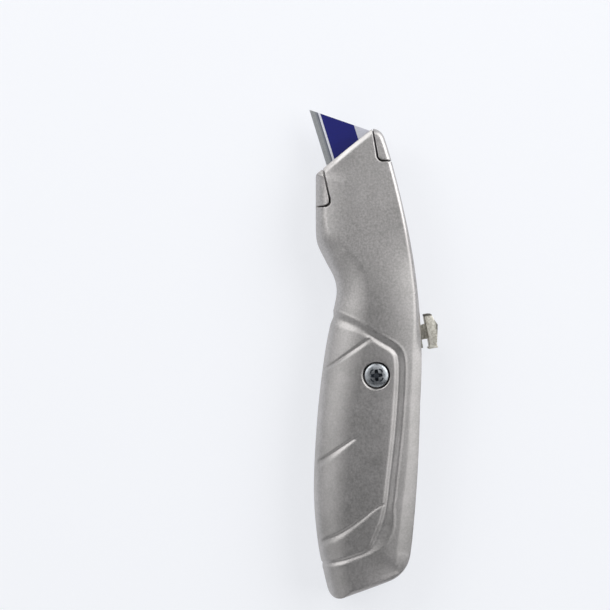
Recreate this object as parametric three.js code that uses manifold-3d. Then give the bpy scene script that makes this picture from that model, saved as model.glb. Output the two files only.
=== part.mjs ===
// Retractable utility knife: a die-cast zinc body in two halves, held by one screw, with a blade
// carriage that a thumb button slides along the curved spine. Millimetres, +Z up.
// The knife lies on its rear half. +X points to the nose, +Y to the belly (cutting-edge side), -Y to
// the spine, and the origin is the body screw's axis on the rear half's flat outer face.
import * as THREE from "three";
import { mergeVertices } from "three/addons/utils/BufferGeometryUtils.js";
import Module from "manifold-3d";

const wasm = await Module();
wasm.setup();

// ---- Driving dimensions: body -------------------------------------------------------------------
const GRIP_HALF = 11; // parting plane to each outer face, along the grip
const NOSE_HALF = 7.6; // the same at the nose's front corner
const NOSE_X = 88; // nose edge's front corner, ahead of the screw
const NOSE_Y = 1.8;
const NOSE_EDGE_ANGLE = 51.1; // the nose edge leans back by this from the body's length
const NOSE_BELLY_Y = 21.6; // straight belly behind the nose
const BUTT_X = -80; // furthest point of the butt
const BUTT_BELLY_Y = 18.2;
const BUTT_SPINE_Y = -11.2;
const WAIST_X = 30; // narrowest place, where the forefinger rests
const TAPER_START_X = WAIST_X; // ahead of this the body thins towards the nose
const WAIST_Y = 14;
const GRIP_X = -41; // widest place
const GRIP_Y = 22.3;
const SPINE_RADIUS = 228.6; // outer face of the spine, from the nose to behind the slot
const SPINE_CREST_X = 5.5; // where that arc is furthest from the screw's centre line
const SPINE_CREST_Y = -16.2;
const NOSE_ROUND = 1.5; // width of the edge rounding round the nose
const SPINE_ROUND = 2.5; // the same on the spine beside the button
const REAR_SPINE_ROUND = 4.4; // on the spine towards the butt
const BELLY_ROUND = 7.5; // on the belly of the grip
const BUTT_ROUND = 3.2;
const ROUND_STEPS = 3;
const WALL = 2; // side walls of the two trays
const FLOOR = 1.9; // their outer faces
const SEAM_GAP = 0.3; // between the halves at the parting plane
const CLEARANCE = 0.35; // between pieces that seat in each other
const RUNNING = 0.5; // between the carriage and its channel

// ---- Driving dimensions: blade ------------------------------------------------------------------
const BLADE_LENGTH = 61;
const BLADE_BACK = 33; // length of the unsharpened back
const BLADE_WIDTH = 19;
const BLADE_THICKNESS = 0.64;
const BLADE_BEVEL = 2.9; // width of the ground bevel
const NOTCH_SPACING = 8.4;
const NOTCH_WIDTH = 3.3;
const NOTCH_DEPTH = 4.6;
const BLADE_ANGLE = 17.2; // blade to the body's length, with the blade out

// ---- Driving dimensions: carriage, button and lock ----------------------------------------------
const SPINE_WALL = 1.9; // spine wall beside the carriage
const TRAVEL_ANGLE = 7; // turn about the spine's centre, from blade out to blade in
const MOUTH_TO_CARRIER = 6.5; // carrier's front edge, behind the nose edge
const CARRIER_REAR_ANGLE = 7.6; // rear edge of the carrier's plate, about the spine's centre
const PLATE_THICKNESS = 2.9;
const BLOCK_HEIGHT = 2.6; // raised block behind the blade, above the plate
const ARM_WIDTH = 7; // arm under the spine, across the knife
const ARM_HALF = 2.9; // half its thickness
const ARM_REAR_ANGLE = -0.4;
const MAGNET_LENGTH = 12.4;
const MAGNET_WIDTH = 7.4;
const MAGNET_THICKNESS = 1.8;
const BUTTON_X = 15.5; // centre of the pad's inner face, with the blade out
const BUTTON_Y = -18.05;
const BUTTON_ANGLE = 9.8; // pad to the body's length, with the blade out
const PAD_LENGTH = 12.6;
const PAD_HALF_WIDTH = 5.5;
const STEM_LENGTH = 5.3; // along the slot
const STEM_HALF = 1.6;
const TONGUE_LENGTH = 11.2; // cover plate on the arm that fills the slot under the pad
const TONGUE_HALF = 2.1;
const TONGUE_DROP = 1.9; // under the pad
const SLOT_CLEARANCE = 0.4;
const SLOT_END_GAP = 1.4; // beyond the tongue, which leans, at the end of its travel
const SPRING_THICKNESS = 0.5;
const SPRING_HALF = 2.2;
const SPRING_FRONT_ANGLE = 7.3;
const SPRING_REAR_ANGLE = 0.6;
const TOOTH_ANGLE = 0.5; // length of the spring's lock tooth
const TOOTH_DROP = 3.4; // how far the tooth hangs below the strip
const RIVET_RADIUS = 1.1;
const RIVET_HEAD_RADIUS = 1.8;
const RIVET_HEAD = 0.6;
const RIVET_DEPTH = 3;

// ---- Driving dimensions: screw, pins and blade store --------------------------------------------
const SCREW_RADIUS = 2;
const SCREW_HEAD_RADIUS = 4.4;
const SCREW_HEAD = 2.6;
const SCREW_HEAD_BELOW_FACE = 0.4;
const COUNTERBORE_RADIUS = 4.95;
const BOSS_RADIUS = 4.6;
const TAPPED_DEPTH = 7.4; // blind hole in the rear boss, from the parting plane
const PIN_RADIUS = 1.5;
const PIN_LENGTH = 3;
const PIN_BOSS_RADIUS = 3;
const STORE_X = -40; // middle of the stored blades
const STORE_EDGE_Y = 15.4; // their cutting edges
const STORE_REST = 1.2; // height of the ribs they lie on
const SPARE_BLADES = 2;
const FENCE = 1.2;
const FENCE_HEIGHT = 4.4;
const CLIP_WIDTH = 8;
const CLIP_THICKNESS = 0.5;
const CLIP_REACH = 7; // over the stored blades
const CLIP_LIP = 1.8;
const CLIP_RIVET_RADIUS = 1.2;
const CLIP_RIVET_HEAD_RADIUS = 2.2;
const CLIP_RIVET_HEAD = 0.8;
const CLIP_RIVET_DEPTH = 2;
const CLIP_GAP = 0.1; // between the clip and the blade under it

// ---- Derived frame ------------------------------------------------------------------------------
const PARTING_Z = GRIP_HALF;
const ARC_CENTRE = new THREE.Vector2(SPINE_CREST_X, SPINE_CREST_Y + SPINE_RADIUS);
const CHANNEL_OUTER = SPINE_RADIUS - SPINE_WALL;
const BACK_CORNER_RISE = BLADE_BACK ** 2 / (8 * CHANNEL_OUTER); // a straight back in a curved channel
const BLADE_BACK_RADIUS = CHANNEL_OUTER - CLEARANCE - BACK_CORNER_RISE;
const CHANNEL_INNER = BLADE_BACK_RADIUS - BLADE_WIDTH - RUNNING;
const BLADE_BOTTOM_Z = PARTING_Z - BLADE_THICKNESS / 2;
const PLATE_TOP_Z = BLADE_BOTTOM_Z - CLEARANCE;
const PLATE_BOTTOM_Z = PLATE_TOP_Z - PLATE_THICKNESS;
const ARM_OUTER = CHANNEL_OUTER - RUNNING;
const ARM_INNER = ARM_OUTER - ARM_WIDTH;
const SPRING_OUTER = ARM_INNER - RUNNING;
const SPRING_INNER = SPRING_OUTER - SPRING_THICKNESS;
const OVERRUN = 1; // how far cutters pass through what they cut
const SLIVER = 0.001; // corners nearer than this are one, and triangles lower than this are slivers
const TURNING_PASSES = 3;

// Turns degrees into the point at that angle round the spine's centre. 0 is straight out to -Y.
function onArc(radius, degrees) {
  const a = THREE.MathUtils.degToRad(degrees);
  return new THREE.Vector2(
    ARC_CENTRE.x + radius * Math.sin(a),
    ARC_CENTRE.y - radius * Math.cos(a),
  );
}

// The angle round the spine's centre at which a circle of that radius reaches x.
function arcAngle(radius, x) {
  return THREE.MathUtils.radToDeg(Math.asin((x - ARC_CENTRE.x) / radius));
}

// ---- Solids -------------------------------------------------------------------------------------
function solid(geometry) {
  const bare = geometry.index ? geometry.toNonIndexed() : geometry.clone();
  bare.deleteAttribute("normal");
  bare.deleteAttribute("uv");
  const merged = mergeVertices(bare, 1e-4);
  return new wasm.Manifold(
    new wasm.Mesh({
      numProp: 3,
      vertProperties: merged.attributes.position.array,
      triVerts: new Uint32Array(merged.index.array),
    }),
  );
}

// The triangles without those that lie back to back on the same three corners.
function withoutFolds(triangles) {
  const key = (corners) => corners.toSorted((a, b) => a - b).join();
  const count = new Map();
  triangles.forEach((corners) => count.set(key(corners), (count.get(key(corners)) ?? 0) + 1));
  return triangles.filter((corners) => count.get(key(corners)) === 1);
}

// Turns the long edge of every triangle without height to the corner across it, so that each face
// keeps an area.
function turnFlatTriangles(triangles, points) {
  const after = (corners, i) => corners[(i + 1) % 3];
  const owner = new Map();
  const claim = (t) => triangles[t].forEach((a, i) => owner.set(`${a},${after(triangles[t], i)}`, t));
  triangles.forEach((_, t) => claim(t));
  triangles.forEach((corners, t) => {
    const sides = corners.map((a, i) => points[a].distanceTo(points[after(corners, i)]));
    const longest = sides.indexOf(Math.max(...sides));
    const [a, c, b] = [0, 1, 2].map((i) => corners[(longest + i) % 3]);
    const area = new THREE.Triangle(points[a], points[b], points[c]).getArea();
    if (2 * area > SLIVER * sides[longest]) return;
    const across = owner.get(`${c},${a}`);
    const d = triangles[across].find((corner) => corner !== a && corner !== c);
    if (d === b) return;
    triangles[t] = [b, a, d];
    triangles[across] = [d, c, b];
    [t, across].forEach(claim);
  });
}

// The finished mesh, without the slivers that cuts leave.
function geometryOf(manifold) {
  const mesh = manifold.getMesh();
  const geometry = new THREE.BufferGeometry();
  geometry.setAttribute("position", new THREE.BufferAttribute(mesh.vertProperties, 3));
  geometry.setIndex(new THREE.BufferAttribute(mesh.triVerts, 1));
  const merged = mergeVertices(geometry, SLIVER);
  const place = merged.attributes.position;
  const points = Array.from({ length: place.count }, (_, i) =>
    new THREE.Vector3().fromBufferAttribute(place, i),
  );
  let triangles = [];
  for (let i = 0; i < merged.index.count; i += 3) {
    const corners = [0, 1, 2].map((k) => merged.index.getX(i + k));
    if (new Set(corners).size === 3) triangles.push(corners);
  }
  for (let pass = 0; pass < TURNING_PASSES; pass++) {
    triangles = withoutFolds(triangles);
    turnFlatTriangles(triangles, points);
  }
  merged.setIndex(triangles.flat());
  const flat = merged.toNonIndexed();
  flat.computeVertexNormals();
  return flat;
}

function extrude(points, z0, z1) {
  const geometry = new THREE.ExtrudeGeometry(new THREE.Shape(points), {
    depth: z1 - z0,
    bevelEnabled: false,
  });
  return geometry.translate(0, 0, z0);
}

function prism(points, z0, z1) {
  return solid(extrude(points, z0, z1));
}

function rectangle(x0, x1, y0, y1) {
  return [
    new THREE.Vector2(x0, y0),
    new THREE.Vector2(x1, y0),
    new THREE.Vector2(x1, y1),
    new THREE.Vector2(x0, y1),
  ];
}

function block(x0, x1, y0, y1, z0, z1) {
  return prism(rectangle(x0, x1, y0, y1), z0, z1);
}

// A block in a frame that is turned about Z and moved, such as the blade's or the button's.
function framed(geometry, frame) {
  return solid(geometry.clone().applyMatrix4(frame));
}

function frameAt(x, y, degrees) {
  return new THREE.Matrix4()
    .makeTranslation(x, y, 0)
    .multiply(new THREE.Matrix4().makeRotationZ(THREE.MathUtils.degToRad(degrees)));
}

function sectorPoints(inner, outer, from, to) {
  const steps = Math.max(4, Math.round((to - from) / 1.2));
  const points = [];
  for (let i = 0; i <= steps; i++) points.push(onArc(outer, from + ((to - from) * i) / steps));
  for (let i = steps; i >= 0; i--) points.push(onArc(inner, from + ((to - from) * i) / steps));
  return points;
}

function sector(inner, outer, from, to, z0, z1) {
  return prism(sectorPoints(inner, outer, from, to), z0, z1);
}

function upright(radius, x, y, z0, z1, segments = 32) {
  const geometry = new THREE.CylinderGeometry(radius, radius, z1 - z0, segments);
  return solid(geometry.rotateX(Math.PI / 2).translate(x, y, (z0 + z1) / 2));
}

function joined(solids) {
  return solids.reduce((sum, next) => sum.add(next));
}

// ---- Outline of the body, seen from the front half's side ------------------------------------------
const noseBack = new THREE.Vector2(
  -Math.cos(THREE.MathUtils.degToRad(NOSE_EDGE_ANGLE)),
  Math.sin(THREE.MathUtils.degToRad(NOSE_EDGE_ANGLE)),
); // along the nose edge, from its front corner to the belly
const noseOut = new THREE.Vector2(noseBack.y, -noseBack.x);
const noseTop = new THREE.Vector2(NOSE_X, NOSE_Y);
const noseEdgeLength = (NOSE_BELLY_Y - NOSE_Y) / noseBack.y;
const noseBottom = noseTop.clone().addScaledVector(noseBack, noseEdgeLength);

function roundedCorner(before, corner, after, radius, steps) {
  const a = before.clone().sub(corner).normalize();
  const b = after.clone().sub(corner).normalize();
  const half = a.angleTo(b) / 2;
  const reach = radius / Math.tan(half);
  const start = corner.clone().addScaledVector(a, reach);
  const end = corner.clone().addScaledVector(b, reach);
  return new THREE.QuadraticBezierCurve(start, corner, end).getPoints(steps);
}

// Belly: straight behind the nose, in to the waist, out along the grip, and in to the butt.
const NOSE_BELLY_REAR_X = noseBottom.x - 16;
const noseDrop = NOSE_BELLY_Y - WAIST_Y;
const gripRise = GRIP_Y - WAIST_Y;
const bellyCurve = new THREE.SplineCurve([
  new THREE.Vector2(NOSE_BELLY_REAR_X, NOSE_BELLY_Y),
  new THREE.Vector2(WAIST_X + 18, NOSE_BELLY_Y - 0.06 * noseDrop),
  new THREE.Vector2(WAIST_X + 11.2, NOSE_BELLY_Y - 0.46 * noseDrop),
  new THREE.Vector2(WAIST_X + 5.2, NOSE_BELLY_Y - 0.87 * noseDrop),
  new THREE.Vector2(WAIST_X, WAIST_Y),
  new THREE.Vector2(WAIST_X - 6.5, WAIST_Y + 0.13 * gripRise),
  new THREE.Vector2(WAIST_X - 21, WAIST_Y + 0.49 * gripRise),
  new THREE.Vector2(WAIST_X - 44, WAIST_Y + 0.83 * gripRise),
  new THREE.Vector2(GRIP_X, GRIP_Y),
  new THREE.Vector2(GRIP_X - 19, GRIP_Y - 1.4),
  new THREE.Vector2(BUTT_X + 6.6, BUTT_BELLY_Y),
]);

// Butt: a slanted end with a small corner at the belly and a wide one at the spine.
const buttBelly = new THREE.Vector2(BUTT_X + 6.6, BUTT_BELLY_Y);
const buttLow = new THREE.Vector2(BUTT_X - 1.1, BUTT_BELLY_Y - 2);
const buttSpine = new THREE.Vector2(BUTT_X + 8.7, BUTT_SPINE_Y);
const BUTT_BELLY_RADIUS = BUTT_ROUND + 1.6;
const BUTT_SPINE_RADIUS = 12;
const SPINE_REAR_ANGLE = -3.9; // behind this the spine leaves its arc
const spineLeaves = onArc(SPINE_RADIUS, SPINE_REAR_ANGLE);
const rearSpineEnd = new THREE.Vector2(BUTT_X + 20, BUTT_SPINE_Y - 1.6);
const rearSpine = new THREE.CubicBezierCurve(
  spineLeaves,
  spineLeaves.clone().add(new THREE.Vector2(-17, 0.3)),
  rearSpineEnd.clone().add(new THREE.Vector2(17, -1.7)),
  rearSpineEnd,
);

// The spine ahead of the arc: it runs out almost straight to the nose's rounded front corner.
const SPINE_FRONT_X = NOSE_X - 38;
const NOSE_BELLY_RADIUS = NOSE_ROUND + 0.4;
const cornerStart = new THREE.Vector2(NOSE_X - 3.2, NOSE_Y - 4.9);

function outlinePoints() {
  const spineFront = arcAngle(SPINE_RADIUS, SPINE_FRONT_X);
  const spineStart = onArc(SPINE_RADIUS, spineFront);
  const spineSteps = 14;
  const spine = [];
  for (let i = 0; i <= spineSteps; i++) {
    const share = i / spineSteps;
    spine.push(onArc(SPINE_RADIUS, spineFront + (SPINE_REAR_ANGLE - spineFront) * share));
  }
  const corner = new THREE.CubicBezierCurve(
    noseTop,
    noseTop.clone().addScaledVector(noseBack, -1.9),
    cornerStart.clone().add(new THREE.Vector2(2.4, 0.6)),
    cornerStart,
  );
  const lead = new THREE.CubicBezierCurve(
    cornerStart,
    cornerStart.clone().add(new THREE.Vector2(-8, -2.7)),
    spineStart.clone().add(new THREE.Vector2(11, 2.2)),
    spineStart,
  );
  return [
    ...roundedCorner(bellyCurve.points[0], noseBottom, noseTop, NOSE_BELLY_RADIUS, 4),
    ...corner.getPoints(6),
    ...lead.getPoints(10).slice(1),
    ...spine.slice(1),
    ...rearSpine.getPoints(9).slice(1, -1),
    ...roundedCorner(rearSpineEnd, buttSpine, buttLow, BUTT_SPINE_RADIUS, 9),
    ...roundedCorner(buttSpine, buttLow, buttBelly, BUTT_BELLY_RADIUS, 7),
    ...bellyCurve.getPoints(52).reverse().slice(1),
  ];
}

// Width of the edge rounding at a point of the outline.
function roundingAt(point) {
  const { mapLinear, clamp, smoothstep } = THREE.MathUtils;
  if (point.y > 3) {
    const fromNose = smoothstep(-point.x, -54, -10);
    const fromButt = smoothstep(point.x, buttBelly.x, GRIP_X - 7);
    const full = NOSE_ROUND + (BELLY_ROUND - NOSE_ROUND) * fromNose;
    return BUTT_ROUND + (full - BUTT_ROUND) * fromButt;
  }
  if (point.x > 5) return mapLinear(clamp(point.x, 5, 52), 5, 52, SPINE_ROUND, NOSE_ROUND);
  return mapLinear(clamp(point.x, -50, 5), -50, 5, REAR_SPINE_ROUND, SPINE_ROUND);
}

// Unit vectors into the outline at each of its points. Where the taper starts they run straight across.
function inwardAt(points) {
  const side = Math.sign(THREE.ShapeUtils.area(points));
  return points.map((p, i) => {
    if (p.x === TAPER_START_X) return new THREE.Vector2(0, -Math.sign(p.y));
    const next = points[(i + 1) % points.length];
    const last = points[(i + points.length - 1) % points.length];
    const along = next.clone().sub(last).normalize();
    return new THREE.Vector2(-along.y, along.x).multiplyScalar(side);
  });
}

// The outline with a point of its own wherever it crosses the line where the taper starts.
function withTaperStart(points) {
  return points.flatMap((p, i) => {
    const next = points[(i + 1) % points.length];
    const share = (TAPER_START_X - p.x) / (next.x - p.x);
    if (!(share > 0 && share < 1)) return [p];
    return [p, new THREE.Vector2(TAPER_START_X, THREE.MathUtils.lerp(p.y, next.y, share))];
  });
}

// One stretch of the body's form, closed straight across where its outline points stop.
function roundedStretch(points, inward, wall, floor, halfAt) {
  const rings = 2 * ROUND_STEPS + 1;
  const geometry = new THREE.ExtrudeGeometry(new THREE.Shape(points), {
    depth: rings,
    steps: rings,
    bevelEnabled: false,
  });
  const position = geometry.getAttribute("position");
  for (let i = 0; i < position.count; i++) {
    const here = new THREE.Vector2(position.getX(i), position.getY(i));
    const nearest = points.findIndex((p) => p.distanceTo(here) < 1e-3);
    const ring = Math.round(position.getZ(i));
    const step = Math.min(ring, rings - ring);
    const turn = (Math.PI / 2) * (step / ROUND_STEPS);
    const width = roundingAt(here);
    const across = wall + Math.max(width - wall, 0.4) * (1 - Math.sin(turn));
    const moved = points[nearest].clone().addScaledVector(inward[nearest], across);
    const half = halfAt(moved.x);
    const height = Math.min(width, 0.8 * half);
    const down = floor + Math.max(height - floor, 0.4) * (1 - Math.cos(turn));
    const side = ring > ROUND_STEPS ? 1 : -1;
    position.setXYZ(i, moved.x, moved.y, PARTING_Z + side * (half - down));
  }
  return solid(geometry);
}

// The body's form: the outline with its edges rounded and thinned towards the nose. With a wall and
// a floor it is the form of the hollow inside them.
function roundedBody(points, inward, wall = 0, floor = 0) {
  const taper = (GRIP_HALF - NOSE_HALF) / (NOSE_X - TAPER_START_X);
  const rear = points.map((p) => p.x <= TAPER_START_X);
  const front = points.map((p) => p.x >= TAPER_START_X);
  return roundedStretch(
    points.filter((_, i) => rear[i]),
    inward.filter((_, i) => rear[i]),
    wall,
    floor,
    () => GRIP_HALF,
  ).add(
    roundedStretch(
      points.filter((_, i) => front[i]),
      inward.filter((_, i) => front[i]),
      wall,
      floor,
      (x) => GRIP_HALF - taper * (x - TAPER_START_X),
    ),
  );
}

const outline = withTaperStart(outlinePoints());
const inward = inwardAt(outline);
const blank = roundedBody(outline, inward);
const HOLLOW_FRONT_X = 66;
const behindFront = outline.map((p) => p.x < HOLLOW_FRONT_X);
const hollowForm = roundedBody(
  outline.filter((_, i) => behindFront[i]),
  inward.filter((_, i) => behindFront[i]),
  WALL,
  FLOOR,
);
const bounds = { low: -200, high: 200 };

function slab(z0, z1) {
  return block(bounds.low, bounds.high, bounds.low, bounds.high, z0, z1);
}

// ---- Blade --------------------------------------------------------------------------------------
// Its frame has x' forward along the blade and y' from the back to the cutting edge.
function bladeShape(grow = 0) {
  const slope = (BLADE_LENGTH - BLADE_BACK) / 2 / BLADE_WIDTH;
  const side = grow * Math.hypot(1, slope);
  const edge = BLADE_LENGTH / 2 + side + grow * slope;
  const back = BLADE_BACK / 2 + side - grow * slope;
  return [
    new THREE.Vector2(-back, -grow),
    new THREE.Vector2(back, -grow),
    new THREE.Vector2(edge, BLADE_WIDTH + grow),
    new THREE.Vector2(-edge, BLADE_WIDTH + grow),
  ];
}

const NOTCHES_X = [-NOTCH_SPACING / 2, NOTCH_SPACING / 2];

function bladeSolid(frame, bottom) {
  const half = BLADE_THICKNESS / 2;
  const section = new THREE.Shape([
    new THREE.Vector2(0, -half),
    new THREE.Vector2(BLADE_WIDTH - BLADE_BEVEL, -half),
    new THREE.Vector2(BLADE_WIDTH, 0),
    new THREE.Vector2(BLADE_WIDTH - BLADE_BEVEL, half),
    new THREE.Vector2(0, half),
  ]);
  const strip = new THREE.ExtrudeGeometry(section, { depth: BLADE_LENGTH, bevelEnabled: false });
  strip.applyMatrix4(
    new THREE.Matrix4().makeBasis(
      new THREE.Vector3(0, 1, 0),
      new THREE.Vector3(0, 0, 1),
      new THREE.Vector3(1, 0, 0),
    ),
  );
  strip.translate(-BLADE_LENGTH / 2, 0, bottom + half);
  const low = bottom - OVERRUN;
  const high = bottom + BLADE_THICKNESS + OVERRUN;
  let blade = framed(strip, frame).intersect(framed(extrude(bladeShape(), low, high), frame));
  for (const x of NOTCHES_X) {
    const notch = rectangle(x - NOTCH_WIDTH / 2, x + NOTCH_WIDTH / 2, -OVERRUN, NOTCH_DEPTH);
    blade = blade.subtract(framed(extrude(notch, low, high), frame));
  }
  return blade;
}

const bladeBack = onArc(BLADE_BACK_RADIUS, BLADE_ANGLE);
const bladeFrame = frameAt(bladeBack.x, bladeBack.y, BLADE_ANGLE);

// ---- Blade carrier --------------------------------------------------------------------------------
const buttonFrame = frameAt(BUTTON_X, BUTTON_Y, BUTTON_ANGLE); // x' forward, y' into the body
const MAGNET_X = -14.5; // in the blade's frame
const MAGNET_Y = 10.5;
const magnetTop = PLATE_TOP_Z - 0.1;
const FLANGE_ANGLE = 12.4; // the raised block and the arm end here, behind the blade's back

// Everything ahead of a line parallel to the nose edge and behind it by a distance.
function aheadOfNose(behind, z0, z1) {
  const start = noseTop.clone().addScaledVector(noseOut, -behind);
  const reach = 3 * noseEdgeLength;
  return prism(
    [
      start.clone().addScaledVector(noseBack, -reach),
      start.clone().addScaledVector(noseBack, -reach).addScaledVector(noseOut, reach),
      start.clone().addScaledVector(noseBack, reach).addScaledVector(noseOut, reach),
      start.clone().addScaledVector(noseBack, reach),
    ],
    z0,
    z1,
  );
}

function rivetAxis(degrees) {
  return frameAt(ARC_CENTRE.x, ARC_CENTRE.y, degrees);
}

// A round rod along the spine's radius at an angle, between two radii.
function radialRod(radius, inner, outer, degrees, segments = 20) {
  const geometry = new THREE.CylinderGeometry(radius, radius, outer - inner, segments);
  geometry.translate(0, -(inner + outer) / 2, PARTING_Z);
  return framed(geometry, rivetAxis(degrees));
}

const RIVET_ANGLES = [SPRING_FRONT_ANGLE - 1.9, SPRING_FRONT_ANGLE - 0.8];

function bladeCarrier() {
  const outer = ARM_OUTER;
  const inner = CHANNEL_INNER + RUNNING;
  const far = arcAngle(outer, NOSE_X);
  const plate = sector(inner, outer, CARRIER_REAR_ANGLE, far, PLATE_BOTTOM_Z, PLATE_TOP_Z).subtract(
    aheadOfNose(MOUTH_TO_CARRIER, PLATE_BOTTOM_Z - OVERRUN, PLATE_TOP_Z + OVERRUN),
  );
  const blockTop = PLATE_TOP_Z + BLOCK_HEIGHT;
  const rearBlock = sector(
    inner,
    outer,
    CARRIER_REAR_ANGLE,
    FLANGE_ANGLE,
    PLATE_TOP_Z - OVERRUN,
    blockTop,
  );
  const bladeRoom = framed(
    extrude(bladeShape(CLEARANCE), PLATE_TOP_Z, blockTop + OVERRUN),
    bladeFrame,
  );
  const lugs = NOTCHES_X.map((x) =>
    framed(
      extrude(
        rectangle(
          x - NOTCH_WIDTH / 2 + CLEARANCE,
          x + NOTCH_WIDTH / 2 - CLEARANCE,
          0.4,
          NOTCH_DEPTH - CLEARANCE,
        ),
        PLATE_TOP_Z - OVERRUN,
        PARTING_Z + BLADE_THICKNESS / 2 + 0.6,
      ),
      bladeFrame,
    ),
  );
  const arm = sector(
    ARM_INNER,
    outer,
    ARM_REAR_ANGLE,
    FLANGE_ANGLE,
    PARTING_Z - ARM_HALF,
    PARTING_Z + ARM_HALF,
  ).subtract(bladeRoom);
  const tongue = framed(
    extrude(
      rectangle(-TONGUE_LENGTH / 2, TONGUE_LENGTH / 2, TONGUE_DROP, TONGUE_DROP + 4),
      PARTING_Z - TONGUE_HALF,
      PARTING_Z + TONGUE_HALF,
    ),
    buttonFrame,
  );
  const stemHole = framed(
    extrude(
      rectangle(
        -STEM_LENGTH / 2 - CLEARANCE,
        STEM_LENGTH / 2 + CLEARANCE,
        0,
        TONGUE_DROP + 2 * ARM_WIDTH,
      ),
      PARTING_Z - STEM_HALF - CLEARANCE,
      PARTING_Z + STEM_HALF + CLEARANCE,
    ),
    buttonFrame,
  );
  const magnetPocket = framed(
    extrude(
      rectangle(
        MAGNET_X - MAGNET_LENGTH / 2 - CLEARANCE,
        MAGNET_X + MAGNET_LENGTH / 2 + CLEARANCE,
        MAGNET_Y - MAGNET_WIDTH / 2 - CLEARANCE,
        MAGNET_Y + MAGNET_WIDTH / 2 + CLEARANCE,
      ),
      magnetTop - MAGNET_THICKNESS - CLEARANCE,
      PLATE_TOP_Z + OVERRUN,
    ),
    bladeFrame,
  );
  const rivetHoles = RIVET_ANGLES.map((degrees) =>
    radialRod(
      RIVET_RADIUS + CLEARANCE,
      ARM_INNER - OVERRUN,
      ARM_INNER + RIVET_DEPTH + CLEARANCE,
      degrees,
    ),
  );
  return joined([plate, rearBlock.subtract(bladeRoom), arm, tongue, ...lugs])
    .subtract(stemHole)
    .subtract(magnetPocket)
    .subtract(joined(rivetHoles));
}

function carrierMagnet() {
  return framed(
    extrude(
      rectangle(
        MAGNET_X - MAGNET_LENGTH / 2,
        MAGNET_X + MAGNET_LENGTH / 2,
        MAGNET_Y - MAGNET_WIDTH / 2,
        MAGNET_Y + MAGNET_WIDTH / 2,
      ),
      magnetTop - MAGNET_THICKNESS,
      magnetTop,
    ),
    bladeFrame,
  );
}

// ---- Lock spring and its rivets -------------------------------------------------------------------
function lockSpring() {
  const strip = sector(
    SPRING_INNER,
    SPRING_OUTER,
    SPRING_REAR_ANGLE,
    SPRING_FRONT_ANGLE,
    PARTING_Z - SPRING_HALF,
    PARTING_Z + SPRING_HALF,
  );
  const tooth = sector(
    SPRING_INNER,
    SPRING_OUTER,
    SPRING_REAR_ANGLE,
    SPRING_REAR_ANGLE + TOOTH_ANGLE,
    PARTING_Z - SPRING_HALF - TOOTH_DROP,
    PARTING_Z,
  );
  const holes = RIVET_ANGLES.map((degrees) =>
    radialRod(
      RIVET_RADIUS + CLEARANCE,
      SPRING_INNER - OVERRUN,
      SPRING_OUTER + OVERRUN,
      degrees,
    ),
  );
  return strip.add(tooth).subtract(joined(holes));
}

function springRivet(degrees) {
  const headOuter = SPRING_INNER - CLEARANCE;
  const headInner = headOuter - RIVET_HEAD;
  const shank = radialRod(RIVET_RADIUS, headInner, ARM_INNER + RIVET_DEPTH, degrees);
  return shank.add(radialRod(RIVET_HEAD_RADIUS, headInner, headOuter, degrees));
}

// ---- Thumb button -----------------------------------------------------------------------------------
// Pad profile along the slot (x') and away from the body (-y'): low at the front, a hump, a rear lip.
const PAD_FRONT = 2.75;
const PAD_HUMP = 4.65;
const PAD_REAR = 3;
const PAD_LIP = 3.4;
const RIDGES = 5;
const RIDGE_DEPTH = 0.35;

function padHeight(x) {
  const front = PAD_LENGTH / 2;
  if (x > 1.6) return THREE.MathUtils.mapLinear(x, 1.6, front, PAD_HUMP, PAD_FRONT);
  if (x > 0) return PAD_HUMP;
  if (x > -2) return THREE.MathUtils.mapLinear(x, -2, 0, PAD_REAR + 0.7, PAD_HUMP);
  if (x > -front + 0.8) return THREE.MathUtils.mapLinear(x, -front + 0.8, -2, PAD_REAR, PAD_REAR + 0.7);
  return PAD_LIP;
}

function padProfile() {
  const half = PAD_LENGTH / 2;
  const points = [new THREE.Vector2(half, 0)];
  points.push(new THREE.Vector2(half, -padHeight(half)));
  points.push(new THREE.Vector2(1.6, -PAD_HUMP));
  const from = 0.6;
  const pitch = (from + half - 0.8) / RIDGES;
  for (let i = 0; i < RIDGES; i++) {
    const x = from - i * pitch;
    points.push(new THREE.Vector2(x, -padHeight(x)));
    points.push(new THREE.Vector2(x - 0.45 * pitch, -padHeight(x - 0.45 * pitch) + RIDGE_DEPTH));
    points.push(new THREE.Vector2(x - 0.7 * pitch, -padHeight(x - 0.7 * pitch) + RIDGE_DEPTH));
  }
  points.push(new THREE.Vector2(-half + 0.7, -PAD_LIP));
  points.push(new THREE.Vector2(-half, -PAD_LIP));
  points.push(new THREE.Vector2(-half, 0));
  return points;
}

// The stem ends just short of the lock spring's outer face, whichever of its corners is nearest.
function stemReach() {
  const buttonRadius = Math.hypot(BUTTON_X - ARC_CENTRE.x, BUTTON_Y - ARC_CENTRE.y);
  const lean = THREE.MathUtils.degToRad(BUTTON_ANGLE - arcAngle(buttonRadius, BUTTON_X));
  const cornerDrop = (STEM_LENGTH / 2) * Math.abs(Math.sin(lean));
  return (buttonRadius - SPRING_OUTER - CLEARANCE - cornerDrop) / Math.cos(lean);
}

function thumbButton() {
  const pad = framed(
    extrude(padProfile(), PARTING_Z - PAD_HALF_WIDTH, PARTING_Z + PAD_HALF_WIDTH),
    buttonFrame,
  );
  const stem = framed(
    extrude(
      rectangle(-STEM_LENGTH / 2, STEM_LENGTH / 2, -0.5, stemReach()),
      PARTING_Z - STEM_HALF,
      PARTING_Z + STEM_HALF,
    ),
    buttonFrame,
  );
  return pad.add(stem);
}

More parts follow.
